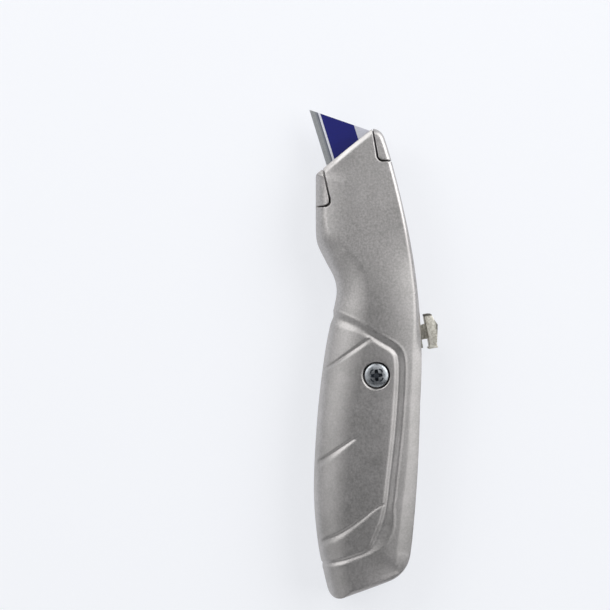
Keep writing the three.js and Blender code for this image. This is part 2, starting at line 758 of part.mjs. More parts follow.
// ---- Body halves --------------------------------------------------------------------------------------
const CHANNEL_BELOW = PARTING_Z - PLATE_BOTTOM_Z + RUNNING;
const CHANNEL_ABOVE = Math.max(PLATE_TOP_Z + BLOCK_HEIGHT - PARTING_Z, 1) + RUNNING;
const CAVITY_FRONT_X = 22; // the handle's hollow ends here, ahead of the slot
const SLIT_HALF = BLADE_THICKNESS / 2 + CLEARANCE + 0.05;
const retractedRear = ARM_REAR_ANGLE - TRAVEL_ANGLE - 0.4;
const mouthAngle = arcAngle(SPINE_RADIUS, NOSE_X) + 6;

// Room for the carriage and its arm all along their travel.
function carriageRoom() {
  const plateRoom = sector(
    CHANNEL_INNER,
    CHANNEL_OUTER,
    CARRIER_REAR_ANGLE - TRAVEL_ANGLE - 0.4,
    mouthAngle,
    PARTING_Z - CHANNEL_BELOW,
    PARTING_Z + CHANNEL_ABOVE,
  ).subtract(aheadOfNose(MOUTH_TO_CARRIER - RUNNING, 0, 2 * GRIP_HALF));
  const armRoom = sector(
    ARM_INNER - RUNNING,
    CHANNEL_OUTER,
    retractedRear,
    FLANGE_ANGLE + 0.4,
    PARTING_Z - ARM_HALF - RUNNING,
    PARTING_Z + ARM_HALF + RUNNING,
  );
  const slit = sector(
    CHANNEL_INNER,
    CHANNEL_OUTER,
    0,
    mouthAngle,
    PARTING_Z - SLIT_HALF,
    PARTING_Z + SLIT_HALF,
  );
  return joined([plateRoom, armRoom, slit]);
}

// The slot in the spine that the button's stem and the arm's tongue run in.
function spineSlot() {
  const tongueFront = BUTTON_X + TONGUE_LENGTH / 2 + SLOT_END_GAP / 2;
  const tongueRear = BUTTON_X - TONGUE_LENGTH / 2 - SLOT_END_GAP;
  const front = arcAngle(SPINE_RADIUS, tongueFront);
  const rear = arcAngle(SPINE_RADIUS, tongueRear) - TRAVEL_ANGLE;
  const half = TONGUE_HALF + SLOT_CLEARANCE;
  return sector(
    CHANNEL_OUTER - OVERRUN,
    SPINE_RADIUS + 2 * OVERRUN,
    rear,
    front,
    PARTING_Z - half,
    PARTING_Z + half,
  );
}

function handleHollow() {
  const ends = block(BUTT_X - 5, CAVITY_FRONT_X, bounds.low, bounds.high, 0, 2 * GRIP_HALF);
  return hollowForm.intersect(ends);
}

// Hollows behind the nose, round curved ribs that the carriage slides on.
const NOSE_HOLLOW_REAR_X = 24;
const NOSE_HOLLOW_FRONT_X = 64;
const RIB = 2;
const CROSS_RIB_X = WAIST_X + 13;
const RIB_RADII = [CHANNEL_INNER - 0.2, CHANNEL_INNER + 6.4, CHANNEL_OUTER - 6.4];

function noseHollow() {
  const span = block(
    NOSE_HOLLOW_REAR_X,
    NOSE_HOLLOW_FRONT_X,
    bounds.low,
    bounds.high,
    0,
    2 * GRIP_HALF,
  );
  const ribs = RIB_RADII.map((radius) =>
    sector(radius - RIB / 2, radius + RIB / 2, 0, 20, 0, 2 * GRIP_HALF),
  );
  const crossRib = block(
    CROSS_RIB_X - RIB / 2,
    CROSS_RIB_X + RIB / 2,
    bounds.low,
    bounds.high,
    0,
    2 * GRIP_HALF,
  );
  return hollowForm.intersect(span).subtract(joined([...ribs, crossRib]));
}

// Grooves in both outer faces: one frames the grip panel, and three slant across it for the fingers.
const PANEL_GROOVE_WIDTH = 2.5;
const PANEL_GROOVE_DEPTH = 0.8;
const FINGER_GROOVE_WIDTH = 2;
const FINGER_GROOVE_DEPTH = 0.5;
const FINGER_GROOVES = [
  [new THREE.Vector2(WAIST_X - 24.4, 12.6), new THREE.Vector2(WAIST_X - 17, 2.6)],
  [new THREE.Vector2(GRIP_X + 14.8, 14.4), new THREE.Vector2(GRIP_X + 19.4, 7.6)],
  [new THREE.Vector2(GRIP_X - 15, 14.2), new THREE.Vector2(GRIP_X - 4.7, -1.2)],
];

// A round-bottomed cutter along a path, sunk into the front face and again into the rear one.
function faceGroove(path, width, depth, steps) {
  const radius = (width ** 2 / 4 + depth ** 2) / (2 * depth);
  const lift = radius - depth;
  const ring = new THREE.Shape(new THREE.EllipseCurve(0, 0, radius, radius).getPoints(10).slice(1));
  const cut = (z) => {
    const rail = new THREE.CatmullRomCurve3(path.map((p) => new THREE.Vector3(p.x, p.y, z)));
    return solid(new THREE.ExtrudeGeometry(ring, { extrudePath: rail, steps, bevelEnabled: false }));
  };
  return cut(2 * GRIP_HALF + lift).add(cut(-lift));
}

function gripGrooves() {
  const front = new THREE.Vector2(WAIST_X - 21, -7.6);
  const rear = new THREE.Vector2(BUTT_X + 19.4, -0.2);
  const bellyFront = new THREE.Vector2(WAIST_X - 8.4, WAIST_Y + 2.4);
  const bellyRear = new THREE.Vector2(buttBelly.x + 5.8, buttBelly.y + 0.4);
  const behindScrew = new THREE.Vector2(-8.8, -8);
  const beforeRear = new THREE.Vector2(GRIP_X - 9, -3);
  const panel = [
    bellyFront,
    ...roundedCorner(bellyFront, front, behindScrew, 4.6, 6),
    behindScrew,
    new THREE.Vector2(GRIP_X + 18, -7),
    new THREE.Vector2(GRIP_X + 3, -5.2),
    beforeRear,
    ...roundedCorner(beforeRear, rear, bellyRear, 5, 6),
    bellyRear,
  ];
  const fingers = FINGER_GROOVES.map((path) =>
    faceGroove(path, FINGER_GROOVE_WIDTH, FINGER_GROOVE_DEPTH, 1),
  );
  return joined([faceGroove(panel, PANEL_GROOVE_WIDTH, PANEL_GROOVE_DEPTH, 44), ...fingers]);
}

// Two lugs of the rear half stand up through the front half's nose corners.
const TAB_GAP = 0.4;
const TAB_OVERHANG = 6; // how far their outlines pass the body's, before they are cut to it
const bellyTabRear = noseBottom.x - 11.2;
const spineTabRear = NOSE_X - 10.6;

function bellyTabPoints(grow) {
  return [
    new THREE.Vector2(noseBottom.x + 14.8, NOSE_BELLY_Y + TAB_OVERHANG),
    new THREE.Vector2(bellyTabRear - grow, NOSE_BELLY_Y + TAB_OVERHANG),
    new THREE.Vector2(bellyTabRear - grow, NOSE_BELLY_Y - 2.6 - grow),
    new THREE.Vector2(bellyTabRear + 1.4 - grow, NOSE_BELLY_Y - 4.4 - grow),
    new THREE.Vector2(noseBottom.x + 14.8, NOSE_BELLY_Y + 0.8 - grow),
  ];
}

function spineTabPoints(grow) {
  const front = NOSE_X + TAB_OVERHANG;
  return [
    new THREE.Vector2(front, NOSE_Y + 0.1 + grow),
    new THREE.Vector2(spineTabRear + 1.9 - grow, NOSE_Y - 2.7 + grow),
    new THREE.Vector2(spineTabRear - grow, NOSE_Y - 4.4 + grow),
    new THREE.Vector2(spineTabRear - grow, cornerStart.y - 2 * TAB_OVERHANG),
    new THREE.Vector2(front, cornerStart.y - 2 * TAB_OVERHANG),
  ];
}

function noseTabs(grow, z0) {
  const top = 2 * GRIP_HALF + OVERRUN;
  return prism(bellyTabPoints(grow), z0, top).add(prism(spineTabPoints(grow), z0, top));
}

// Locating pins on the front half drop into sockets in the rear half.
const PIN_PLACES = [
  new THREE.Vector2(WAIST_X + 19, WAIST_Y + 0.4),
  new THREE.Vector2(BUTT_X + 14.5, BUTT_SPINE_Y + 3.2),
];

// Rack beside the arm that the lock spring's tooth drops into at three stops.
const RACK_OUTER = ARM_INNER + 0.6;
const RACK_INNER = SPRING_INNER - 0.45;
const RACK_TOP_Z = PARTING_Z - ARM_HALF - 1.2;
const STOPS = 3;

function lockRack() {
  const front = SPRING_REAR_ANGLE + TOOTH_ANGLE + 0.8;
  const rear = SPRING_REAR_ANGLE - TRAVEL_ANGLE - 0.8;
  let rack = sector(RACK_INNER, RACK_OUTER, rear, front, FLOOR - OVERRUN, RACK_TOP_Z);
  for (let i = 0; i < STOPS; i++) {
    const at = SPRING_REAR_ANGLE - (TRAVEL_ANGLE * i) / (STOPS - 1);
    const notch = sector(
      RACK_INNER - OVERRUN,
      SPRING_OUTER + CLEARANCE,
      at - 0.12,
      at + TOOTH_ANGLE + 0.12,
      FLOOR,
      RACK_TOP_Z + OVERRUN,
    );
    rack = rack.subtract(notch);
  }
  return rack;
}

// Fence and rest ribs for the stored blades, with a post for their clip.
const storeFrame = frameAt(STORE_X, STORE_EDGE_Y - BLADE_WIDTH, 0);
const CLIP_POST_Y = -3.4; // in the store's frame, behind the blades' backs
const CLIP_POST_HALF = 2.6;
const storeBottom = FLOOR + STORE_REST + CLEARANCE;
const storePitch = BLADE_THICKNESS + CLEARANCE;
const storeTop = storeBottom + SPARE_BLADES * storePitch;
const clipBottom = storeTop + CLIP_GAP;

const clipRivetY = STORE_EDGE_Y - BLADE_WIDTH + CLIP_POST_Y;

// Room for the clip's rivet, upwards from a height.
function clipHole(z0) {
  const top = clipBottom + CLIP_THICKNESS + OVERRUN;
  return upright(CLIP_RIVET_RADIUS + CLEARANCE, STORE_X, clipRivetY, z0, top, 20);
}

function bladeStore() {
  const wall = framed(
    extrude(bladeShape(CLEARANCE + FENCE), FLOOR - OVERRUN, FLOOR + FENCE_HEIGHT),
    storeFrame,
  );
  const room = framed(
    extrude(bladeShape(CLEARANCE), FLOOR - 2 * OVERRUN, FLOOR + FENCE_HEIGHT + OVERRUN),
    storeFrame,
  );
  const openBelly = framed(
    extrude(
      rectangle(-BLADE_LENGTH, BLADE_LENGTH, BLADE_WIDTH - 1.5, BLADE_WIDTH + 8),
      0,
      2 * GRIP_HALF,
    ),
    storeFrame,
  );
  const rests = [-12, 12].map((x) =>
    framed(
      extrude(
        rectangle(x - 1, x + 1, -CLEARANCE - FENCE, BLADE_WIDTH - 1),
        FLOOR - OVERRUN,
        FLOOR + STORE_REST,
      ),
      storeFrame,
    ),
  );
  const post = framed(
    extrude(
      rectangle(
        -CLIP_WIDTH / 2,
        CLIP_WIDTH / 2,
        CLIP_POST_Y - CLIP_POST_HALF,
        -CLEARANCE - FENCE / 2,
      ),
      FLOOR - OVERRUN,
      clipBottom - CLEARANCE,
    ),
    storeFrame,
  );
  const postHole = clipHole(clipBottom - CLEARANCE - CLIP_RIVET_DEPTH);
  const clipGap = framed(
    extrude(
      rectangle(
        -CLIP_WIDTH / 2 - CLEARANCE,
        CLIP_WIDTH / 2 + CLEARANCE,
        CLIP_POST_Y - CLIP_POST_HALF - CLEARANCE,
        BLADE_WIDTH,
      ),
      clipBottom - CLEARANCE,
      2 * GRIP_HALF,
    ),
    storeFrame,
  );
  return joined([wall.subtract(room).subtract(openBelly), ...rests, post])
    .subtract(postHole)
    .subtract(clipGap);
}

function storageClip() {
  const strip = framed(
    extrude(
      rectangle(
        -CLIP_WIDTH / 2,
        CLIP_WIDTH / 2,
        CLIP_POST_Y - CLIP_POST_HALF,
        CLIP_REACH,
      ),
      clipBottom,
      clipBottom + CLIP_THICKNESS,
    ),
    storeFrame,
  );
  const lip = framed(
    extrude(
      rectangle(
        -CLIP_WIDTH / 2,
        CLIP_WIDTH / 2,
        CLIP_REACH - CLIP_THICKNESS,
        CLIP_REACH,
      ),
      clipBottom,
      clipBottom + CLIP_LIP,
    ),
    storeFrame,
  );
  const hole = clipHole(clipBottom - OVERRUN);
  return strip.add(lip).subtract(hole);
}

function clipRivet() {
  const bottom = clipBottom - CLIP_RIVET_DEPTH;
  const underHead = clipBottom + CLIP_THICKNESS + CLEARANCE;
  const top = underHead + CLIP_RIVET_HEAD;
  const shank = upright(CLIP_RIVET_RADIUS, STORE_X, clipRivetY, bottom, top, 20);
  return shank.add(upright(CLIP_RIVET_HEAD_RADIUS, STORE_X, clipRivetY, underHead, top, 20));
}

const seatZ = 2 * GRIP_HALF - SCREW_HEAD_BELOW_FACE - SCREW_HEAD;
const tappedBottom = PARTING_Z - TAPPED_DEPTH;

function rearHalf() {
  const tray = blank
    .intersect(slab(-OVERRUN, PARTING_Z - SEAM_GAP / 2))
    .subtract(handleHollow())
    .subtract(noseHollow());
  const tabs = noseTabs(0, PARTING_Z - OVERRUN).intersect(blank);
  const seamTop = PARTING_Z - SEAM_GAP / 2;
  const boss = upright(BOSS_RADIUS, 0, 0, FLOOR - OVERRUN, seamTop);
  const pinBosses = PIN_PLACES.map((p) =>
    upright(PIN_BOSS_RADIUS, p.x, p.y, FLOOR / 2, seamTop, 24).intersect(blank),
  );
  const sockets = PIN_PLACES.map((p) =>
    upright(
      PIN_RADIUS + CLEARANCE,
      p.x,
      p.y,
      PARTING_Z - PIN_LENGTH - 2 * CLEARANCE,
      PARTING_Z + OVERRUN,
      24,
    ),
  );
  const tapped = upright(SCREW_RADIUS + CLEARANCE, 0, 0, tappedBottom, PARTING_Z + OVERRUN);
  return joined([tray, tabs, boss, ...pinBosses, lockRack(), bladeStore()])
    .subtract(carriageRoom())
    .subtract(spineSlot())
    .subtract(gripGrooves())
    .subtract(joined(sockets))
    .subtract(tapped);
}

function frontHalf() {
  const seamBottom = PARTING_Z + SEAM_GAP / 2;
  const tray = blank
    .intersect(slab(seamBottom, 2 * GRIP_HALF + OVERRUN))
    .subtract(handleHollow())
    .subtract(noseHollow())
    .subtract(noseTabs(TAB_GAP, PARTING_Z - OVERRUN));
  const frontSkin = 2 * GRIP_HALF - FLOOR / 2;
  const boss = upright(BOSS_RADIUS, 0, 0, seamBottom, frontSkin);
  const seat = upright(COUNTERBORE_RADIUS + 1.6, 0, 0, seatZ - 2, frontSkin);
  const pins = PIN_PLACES.flatMap((p) => [
    upright(PIN_RADIUS, p.x, p.y, PARTING_Z - PIN_LENGTH, PARTING_Z + OVERRUN, 24),
    upright(PIN_BOSS_RADIUS, p.x, p.y, seamBottom, frontSkin, 24).intersect(blank),
  ]);
  const through = upright(SCREW_RADIUS + CLEARANCE, 0, 0, 0, 2 * GRIP_HALF + OVERRUN);
  const counterbore = upright(COUNTERBORE_RADIUS, 0, 0, seatZ, 2 * GRIP_HALF + OVERRUN, 48);
  return joined([tray, boss, seat, ...pins])
    .subtract(carriageRoom())
    .subtract(spineSlot())
    .subtract(gripGrooves())
    .subtract(through)
    .subtract(counterbore);
}

// ---- Body screw -------------------------------------------------------------------------------------
const RECESS_WIDTH = 1.3;
const RECESS_LENGTH = 5;
const RECESS_DEPTH = 1.7;

function bodyScrew() {
  const underHead = seatZ + CLEARANCE;
  const top = underHead + SCREW_HEAD;
  const rim = underHead + 0.45 * SCREW_HEAD;
  const tip = tappedBottom + 0.6;
  const profile = [
    new THREE.Vector2(0, tip),
    new THREE.Vector2(SCREW_RADIUS - 0.6, tip),
    new THREE.Vector2(SCREW_RADIUS, tip + 0.7),
    new THREE.Vector2(SCREW_RADIUS, underHead),
    new THREE.Vector2(SCREW_HEAD_RADIUS, underHead),
    new THREE.Vector2(SCREW_HEAD_RADIUS, rim),
  ];
  const domeSteps = 6;
  for (let i = 1; i <= domeSteps; i++) {
    const a = ((Math.PI / 2) * i) / domeSteps;
    profile.push(
      new THREE.Vector2(SCREW_HEAD_RADIUS * Math.cos(a), rim + (top - rim) * Math.sin(a)),
    );
  }
  profile[profile.length - 1].x = 0;
  const turned = solid(new THREE.LatheGeometry(profile, 40).rotateX(Math.PI / 2));
  const z0 = top - RECESS_DEPTH;
  const half = RECESS_LENGTH / 2;
  const wide = RECESS_WIDTH / 2;
  const recess = block(-half, half, -wide, wide, z0, top + OVERRUN).add(
    block(-wide, wide, -half, half, z0, top + OVERRUN),
  );
  return turned.subtract(recess);
}

// ---- Materials and assembly ---------------------------------------------------------------------------
function finish(color, roughness, metalness) {
  return new THREE.MeshStandardMaterial({ color, roughness, metalness });
}

const castZinc = finish("#a5a3a0", 0.5, 0.75);
const plainZinc = finish("#9c9a92", 0.45, 0.85);
const blueBlade = finish("#22276e", 0.4, 0.5);
const springSteel = finish("#8d9096", 0.3, 1);
const platedSteel = finish("#b9bcc0", 0.2, 1);
const magnetFerrite = finish("#4a4c50", 0.5, 0.6);

const knife = new THREE.Group();

function add(parent, name, manifold, material) {
  const mesh = new THREE.Mesh(geometryOf(manifold), material);
  mesh.name = name;
  parent.add(mesh);
}

add(knife, "rear_body_half", rearHalf(), castZinc);
add(knife, "front_body_half", frontHalf(), castZinc);
add(knife, "body_screw", bodyScrew(), platedSteel);

const carriage = new THREE.Group();
add(carriage, "blade_carrier", bladeCarrier(), plainZinc);
add(carriage, "carrier_magnet", carrierMagnet(), magnetFerrite);
add(carriage, "blade", bladeSolid(bladeFrame, BLADE_BOTTOM_Z), blueBlade);
add(carriage, "lock_spring", lockSpring(), springSteel);
RIVET_ANGLES.forEach((degrees, i) => {
  add(carriage, `lock_spring_rivet_${i + 1}`, springRivet(degrees), platedSteel);
});
add(carriage, "thumb_button", thumbButton(), plainZinc);
knife.add(carriage);

const store = new THREE.Group();
for (let i = 0; i < SPARE_BLADES; i++) {
  const spare = bladeSolid(storeFrame, storeBottom + i * storePitch);
  add(store, `spare_blade_${i + 1}`, spare, blueBlade);
}
add(store, "storage_clip", storageClip(), springSteel);
add(store, "clip_rivet", clipRivet(), platedSteel);
knife.add(store);

export default knife;
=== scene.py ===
import math

import bmesh
import bpy
import numpy as np
from mathutils import Matrix, Vector


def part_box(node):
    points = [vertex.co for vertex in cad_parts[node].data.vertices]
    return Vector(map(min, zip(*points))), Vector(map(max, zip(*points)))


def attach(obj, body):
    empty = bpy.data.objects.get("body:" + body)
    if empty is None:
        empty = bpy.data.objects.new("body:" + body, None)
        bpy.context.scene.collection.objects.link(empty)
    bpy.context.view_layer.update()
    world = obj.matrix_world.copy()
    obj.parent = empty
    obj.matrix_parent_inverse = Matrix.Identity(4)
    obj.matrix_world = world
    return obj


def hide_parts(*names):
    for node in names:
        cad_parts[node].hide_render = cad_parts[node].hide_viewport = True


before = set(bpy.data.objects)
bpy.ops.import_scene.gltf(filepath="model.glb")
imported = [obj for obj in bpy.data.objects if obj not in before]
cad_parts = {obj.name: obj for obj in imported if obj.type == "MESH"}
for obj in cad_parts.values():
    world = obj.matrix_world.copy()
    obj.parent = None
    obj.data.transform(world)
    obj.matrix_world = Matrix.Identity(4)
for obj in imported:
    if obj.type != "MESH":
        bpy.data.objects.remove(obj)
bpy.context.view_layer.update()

# ---- Camera ---------------------------------------------------------------------------------
# The knife lies on its rear half and is looked at from straight above, nose up, from far enough
# away that its flat face hides its sides. Every size in this file is in millimetres.
MM = 0.001
LENS = 110.0
SENSOR = 36.0
VIEW_WIDTH = 217.9  # across the view, at the height of the knife's face
VIEW_CENTRE = (25.1, 25.5)
VIEW_HEIGHT = 20.0

camera_data = bpy.data.cameras.new("camera")
camera_data.lens = LENS
camera_data.sensor_width = SENSOR
camera = bpy.data.objects.new("camera", camera_data)
camera.location = Vector((*VIEW_CENTRE, VIEW_HEIGHT + VIEW_WIDTH * LENS / SENSOR)) * MM
camera.rotation_euler = (0, 0, -math.pi / 2)
bpy.context.scene.collection.objects.link(camera)
bpy.context.scene.camera = camera

# ---- Body halves ----------------------------------------------------------------------------
# Two pressure-die-cast zinc trays that meet on a flat plane down the middle of the knife. They are
# shot-blasted after casting, which leaves a fine-grained satin grey and softly worn edges; their
# narrow edges are also lightened with a painted highlight.
# A grip panel framed by a groove is cast into each face, with three finger grooves across it.
PARTING = 11.0  # height of the plane where the halves meet
GRIP_HALF = 11.0  # from there to each outer face, along the grip
NOSE_HALF = 7.6  # the same at the nose's front corner
TAPER_START = 30.0
CROWN_REACH = 16.0  # the face is crowned this far in from the spine
CROWN_TILT = 0.016  # change of its slope there, in each millimetre
SEAM = 0.17  # each half stops this far from the plane
SEAM_EDGE = 0.25  # chamfer along the seam
SPINE_RADIUS = 228.6
ARC_CENTRE = np.array([5.5, SPINE_RADIUS - 16.2])
NOSE_TOP = np.array([88.0, 1.8])
NOSE_LEAN = math.radians(51.1)
NOSE_BACK = np.array([-math.cos(NOSE_LEAN), math.sin(NOSE_LEAN)])
NOSE_OUT = np.array([math.sin(NOSE_LEAN), math.cos(NOSE_LEAN)])
NOSE_BOTTOM = NOSE_TOP + NOSE_BACK * (21.6 - 1.8) / NOSE_BACK[1]
CORNER_START = NOSE_TOP + (-3.2, -4.9)
ARC_FRONT = NOSE_TOP[0] - 38  # the spine's true arc starts this far behind the nose
ARC_REAR = -3.9  # and ends here, in degrees about its centre
REAR_SPINE_END = np.array([-60.0, -12.8])
BUTT_SPINE = np.array([-71.3, -11.2])
BUTT_LOW = np.array([-81.1, 16.2])
BUTT_LEAN = math.atan2(BUTT_SPINE[0] - BUTT_LOW[0], BUTT_LOW[1] - BUTT_SPINE[1])
BUTT_OUT = -np.array([math.cos(BUTT_LEAN), math.sin(BUTT_LEAN)])
BELLY = [
    (56, 21.6), (48, 21.14), (41.2, 18.1), (35.2, 14.99), (30, 14), (23.5, 15.08), (9, 18.07),
    (-14, 20.89), (-41, 22.3), (-60, 20.9), (-73.4, 18.2),
]


def bezier(points, count):
    """Points of the Bezier curve with those control points."""
    share = np.linspace(0, 1, count)[:, None]
    line = np.array(points, float)[:, None, :]
    while len(line) > 1:
        line = line[:-1] * (1 - share) + line[1:] * share
    return line[0]


def smooth_line(points, count):
    """Points of a smooth curve through all of those given, with count of them to each span."""
    points = np.array(points, float)
    padded = np.vstack([points[:1], points, points[-1:]])
    share = np.linspace(0, 1, count, endpoint=False)[:, None]
    spans = []
    for before, start, end, after in zip(padded, padded[1:], padded[2:], padded[3:]):
        leave, arrive = (end - before) / 2, (after - start) / 2
        cubic = (2 * start - 2 * end + leave + arrive) * share**3
        square = (3 * end - 3 * start - 2 * leave - arrive) * share**2
        spans.append(cubic + square + leave * share + start)
    return np.vstack([*spans, points[-1:]])


def rounded_corner(before, corner, after, radius, count):
    """Points round a corner between two straight lines."""
    back = (before - corner) / np.linalg.norm(before - corner)
    ahead = (after - corner) / np.linalg.norm(after - corner)
    reach = radius / math.tan(math.acos(float(back @ ahead)) / 2)
    return bezier([corner + back * reach, corner, corner + ahead * reach], count)


def on_arc(radius, degrees):
    """Points about the centre of the spine's curve, from the angle 0 that faces the spine."""
    turn = np.radians(np.asarray(degrees, float))
    return ARC_CENTRE + radius * np.stack([np.sin(turn), -np.cos(turn)], -1)


arc_start = math.degrees(math.asin((ARC_FRONT - ARC_CENTRE[0]) / SPINE_RADIUS))
spine_arc = on_arc(SPINE_RADIUS, np.linspace(arc_start, ARC_REAR, 240))
outline = np.vstack([
    rounded_corner(np.array(BELLY[0]), NOSE_BOTTOM, NOSE_TOP, 1.9, 16),
    bezier([NOSE_TOP, NOSE_TOP - 1.9 * NOSE_BACK, CORNER_START + (2.4, 0.6), CORNER_START], 40),
    bezier([
        CORNER_START, CORNER_START + (-8, -2.7), spine_arc[0] + (11, 2.2), spine_arc[0],
    ], 80)[1:],
    spine_arc[1:],
    bezier([
        spine_arc[-1], spine_arc[-1] + (-17, 0.3), REAR_SPINE_END + (17, -1.7), REAR_SPINE_END,
    ], 90)[1:-1],
    rounded_corner(REAR_SPINE_END, BUTT_SPINE, BUTT_LOW, 12, 60),
    rounded_corner(BUTT_SPINE, BUTT_LOW, np.array(BELLY[-1]), 4.8, 40),
    smooth_line(BELLY, 40)[::-1][1:],
])[::-1]
closed_outline = np.vstack([outline, outline[:1]])
# The spine and the belly with their lines carried on past the butt.
BUTT_CORNERS = 9.0  # the corners of the butt start this far before it
CARRIED_ON = 90
before_butt = outline[(outline - BUTT_SPINE) @ BUTT_OUT < -BUTT_CORNERS]
gap_at = np.argmax(np.linalg.norm(np.diff(before_butt, axis=0), axis=1)) + 1
before_butt = np.roll(before_butt, -gap_at, axis=0)
long_sides = np.vstack([
    before_butt, before_butt[-1] + (before_butt[-1] - before_butt[-3]) * CARRIED_ON,
    before_butt[0] + (before_butt[0] - before_butt[2]) * CARRIED_ON, before_butt[:1],
])


def nearest_on(line, places):
    """For each place: its gap to the line, the point nearest it, how far along the line that is,
    and the line's left-hand normal there."""
    along = np.diff(line, axis=0)
    length = np.linalg.norm(along, axis=1)
    kept = length > 1e-6
    start, along, length = line[:-1][kept], along[kept], length[kept]
    normal = np.stack([-along[:, 1], along[:, 0]], -1) / length[:, None]
    travelled = np.cumsum(length) - length
    found = []
    for first in range(0, len(places), 2000):
        part = places[first : first + 2000, None, :]
        share = np.clip(np.sum((part - start) * along, -1) / length**2, 0, 1)
        foot = start + share[..., None] * along
        gap = np.linalg.norm(part - foot, axis=-1)
        best = np.argmin(gap, 1)
        row = np.arange(len(best))
        found.append((
            gap[row, best], foot[row, best], (travelled + share * length)[row, best], normal[best],
        ))
    return [np.concatenate(values) for values in zip(*found)]


def smooth_step(value, low, high):
    """0 up to low, 1 from high, with a smooth rise between them."""
    share = np.clip((value - low) / (high - low), 0, 1)
    return share * share * (3 - 2 * share)


def half_thickness(x):
    """Parting plane to outer face: level along the grip, then thinner towards the nose."""
    softness = 2.0
    ahead = np.logaddexp(0, (x - TAPER_START) / softness) * softness
    return GRIP_HALF - (GRIP_HALF - NOSE_HALF) / (NOSE_TOP[0] - TAPER_START) * ahead


def crown(places):
    """How far the face falls away towards the spine, and near the nose towards the belly."""
    ahead = smooth_step(places[:, 0], 34, 62)
    to_spine = np.clip(CROWN_REACH - nearest_on(SIDES[0], places)[0], 0, None)
    to_belly = np.clip(CROWN_REACH - nearest_on(SIDES[2], places)[0], 0, None)
    return CROWN_TILT * ((1 - 0.8 * ahead) * to_spine**2 + 1.3 * ahead * to_belly**2) / 2


# Widths of the cast rounding at places along the spine and along the belly, its greatest height,
# and its width and height at the nose and the butt.
SPINE_WIDTHS = ([-72, -50, -30, -16, 8, 30, 52, 88], [5.2, 4.9, 3.9, 3.6, 3.3, 1.9, 1.6, 1.5])
BELLY_WIDTHS = (
    [-80, -68, -55, -30, 20, 34, 42, 50, 56], [9, 10.5, 13, 14.5, 14, 11.5, 8.5, 5.2, 3.8],
)
ROUNDING_HEIGHT = 8.0
NOSE_EDGE = (1.7, 0.9)
BUTT_EDGE = (1.8, 1.4)


def edge_rounding(place, ends=1.0):
    """Width, height and fullness of the cast rounding at points of the outline. A fullness of 2 is
    a round edge and 1 a chamfer. With ends at 0 the butt's own narrow edge is left out."""
    x, y = place.T
    to_belly = smooth_step(y, -8, 13)
    width = np.interp(x, *SPINE_WIDTHS) * (1 - to_belly) + np.interp(x, *BELLY_WIDTHS) * to_belly
    at_nose = smooth_step((place - NOSE_TOP) @ NOSE_OUT, -0.8, -0.1)
    height = np.minimum(width, ROUNDING_HEIGHT) * (1 - at_nose) + NOSE_EDGE[1] * at_nose
    width = width * (1 - at_nose) + NOSE_EDGE[0] * at_nose
    on_spine = (1 - to_belly) * smooth_step(-x, -25, -5)
    height = height * (1 - 0.74 * on_spine)
    at_butt = ends * smooth_step((place - BUTT_SPINE) @ BUTT_OUT, -7, -0.2)
    height = height * (1 - at_butt) + BUTT_EDGE[1] * at_butt
    width = width * (1 - at_butt) + BUTT_EDGE[0] * at_butt
    fullness = 2 - 0.3 * to_belly * smooth_step(x, -20, 5) - 0.9 * at_nose
    fullness -= 0.85 * on_spine * (1 - at_butt)
    return width, height, np.maximum(fullness, 1.1)


def rounded_off(places, line, ends):
    """How far the rounding along a line takes the face down at each place, and its gap to it."""
    gap, foot, _, _ = nearest_on(line, places)
    width, height, fullness = edge_rounding(foot, ends)
    short = np.clip(1 - gap / width, 0, 1)
    return height * (1 - (1 - short**fullness) ** (1 / fullness)), gap


# The groove that frames the grip panel: its middle line, from the waist round to the butt.
PANEL_LINE = smooth_line([
    (22.9, 19.8), (21.2, 15.9), (18.5, 9.5), (16.7, 5.9), (14.4, 2.3), (11.2, -3), (9.4, -5.9),
    (7.25, -7.5), (4.0, -8.0), (-1.7, -8.0), (-8.8, -7.6), (-19.5, -6.8), (-30.25, -5.65),
    (-37.4, -4.8), (-44.5, -4.0), (-51.7, -2.5), (-57, -0.5), (-61, 1.6), (-63, 4.0),
    (-65.1, 9.5), (-66.7, 14.8), (-67.75, 19.5), (-68.4, 23),
], 6)
# Its section, from a raised bead on its outer edge to the panel: how far across, and how deep.
GROOVE_SECTION = (
    [-1.42, -1.15, -1.04, -0.55, -0.12, 0, 0.12, 0.3, 0.8, 0.98, 1.1],
    [0, -0.2, -0.14, 0.46, 0.95, 1, 0.96, 0.8, 0.2, 0.05, 0],
)
GROOVE_DEPTH = 0.68
PANEL_BEVEL = 1.5  # width of the groove's wall on the panel's side
OUTER_BANK = 2.0  # and on the other side
# Finger grooves: the steep front wall's line, then the width at the belly and at the inner end.
FINGER_LINES = [
    ([(2.6, 18.4), (3.7, 16.6), (8.4, 10.0), (13.1, 3.4)], 0.8, 1.9),
    ([(-31.2, 21.9), (-30.25, 20.2), (-26.4, 14.5), (-22.6, 8.75)], 2.6, 1.2),
    ([
        (-60.6, 22.1), (-58.8, 19.1), (-56.0, 13.2), (-51.2, 5.9), (-47.7, 1.4), (-45.8, -2.2),
    ], 2.8, 0.8),
]
FINGER_SECTION = ([-0.12, 0.1, 0.22, 0.95, 1.15], [0, 0.9, 1, 0.08, 0])
FINGER_DEPTH = 0.5


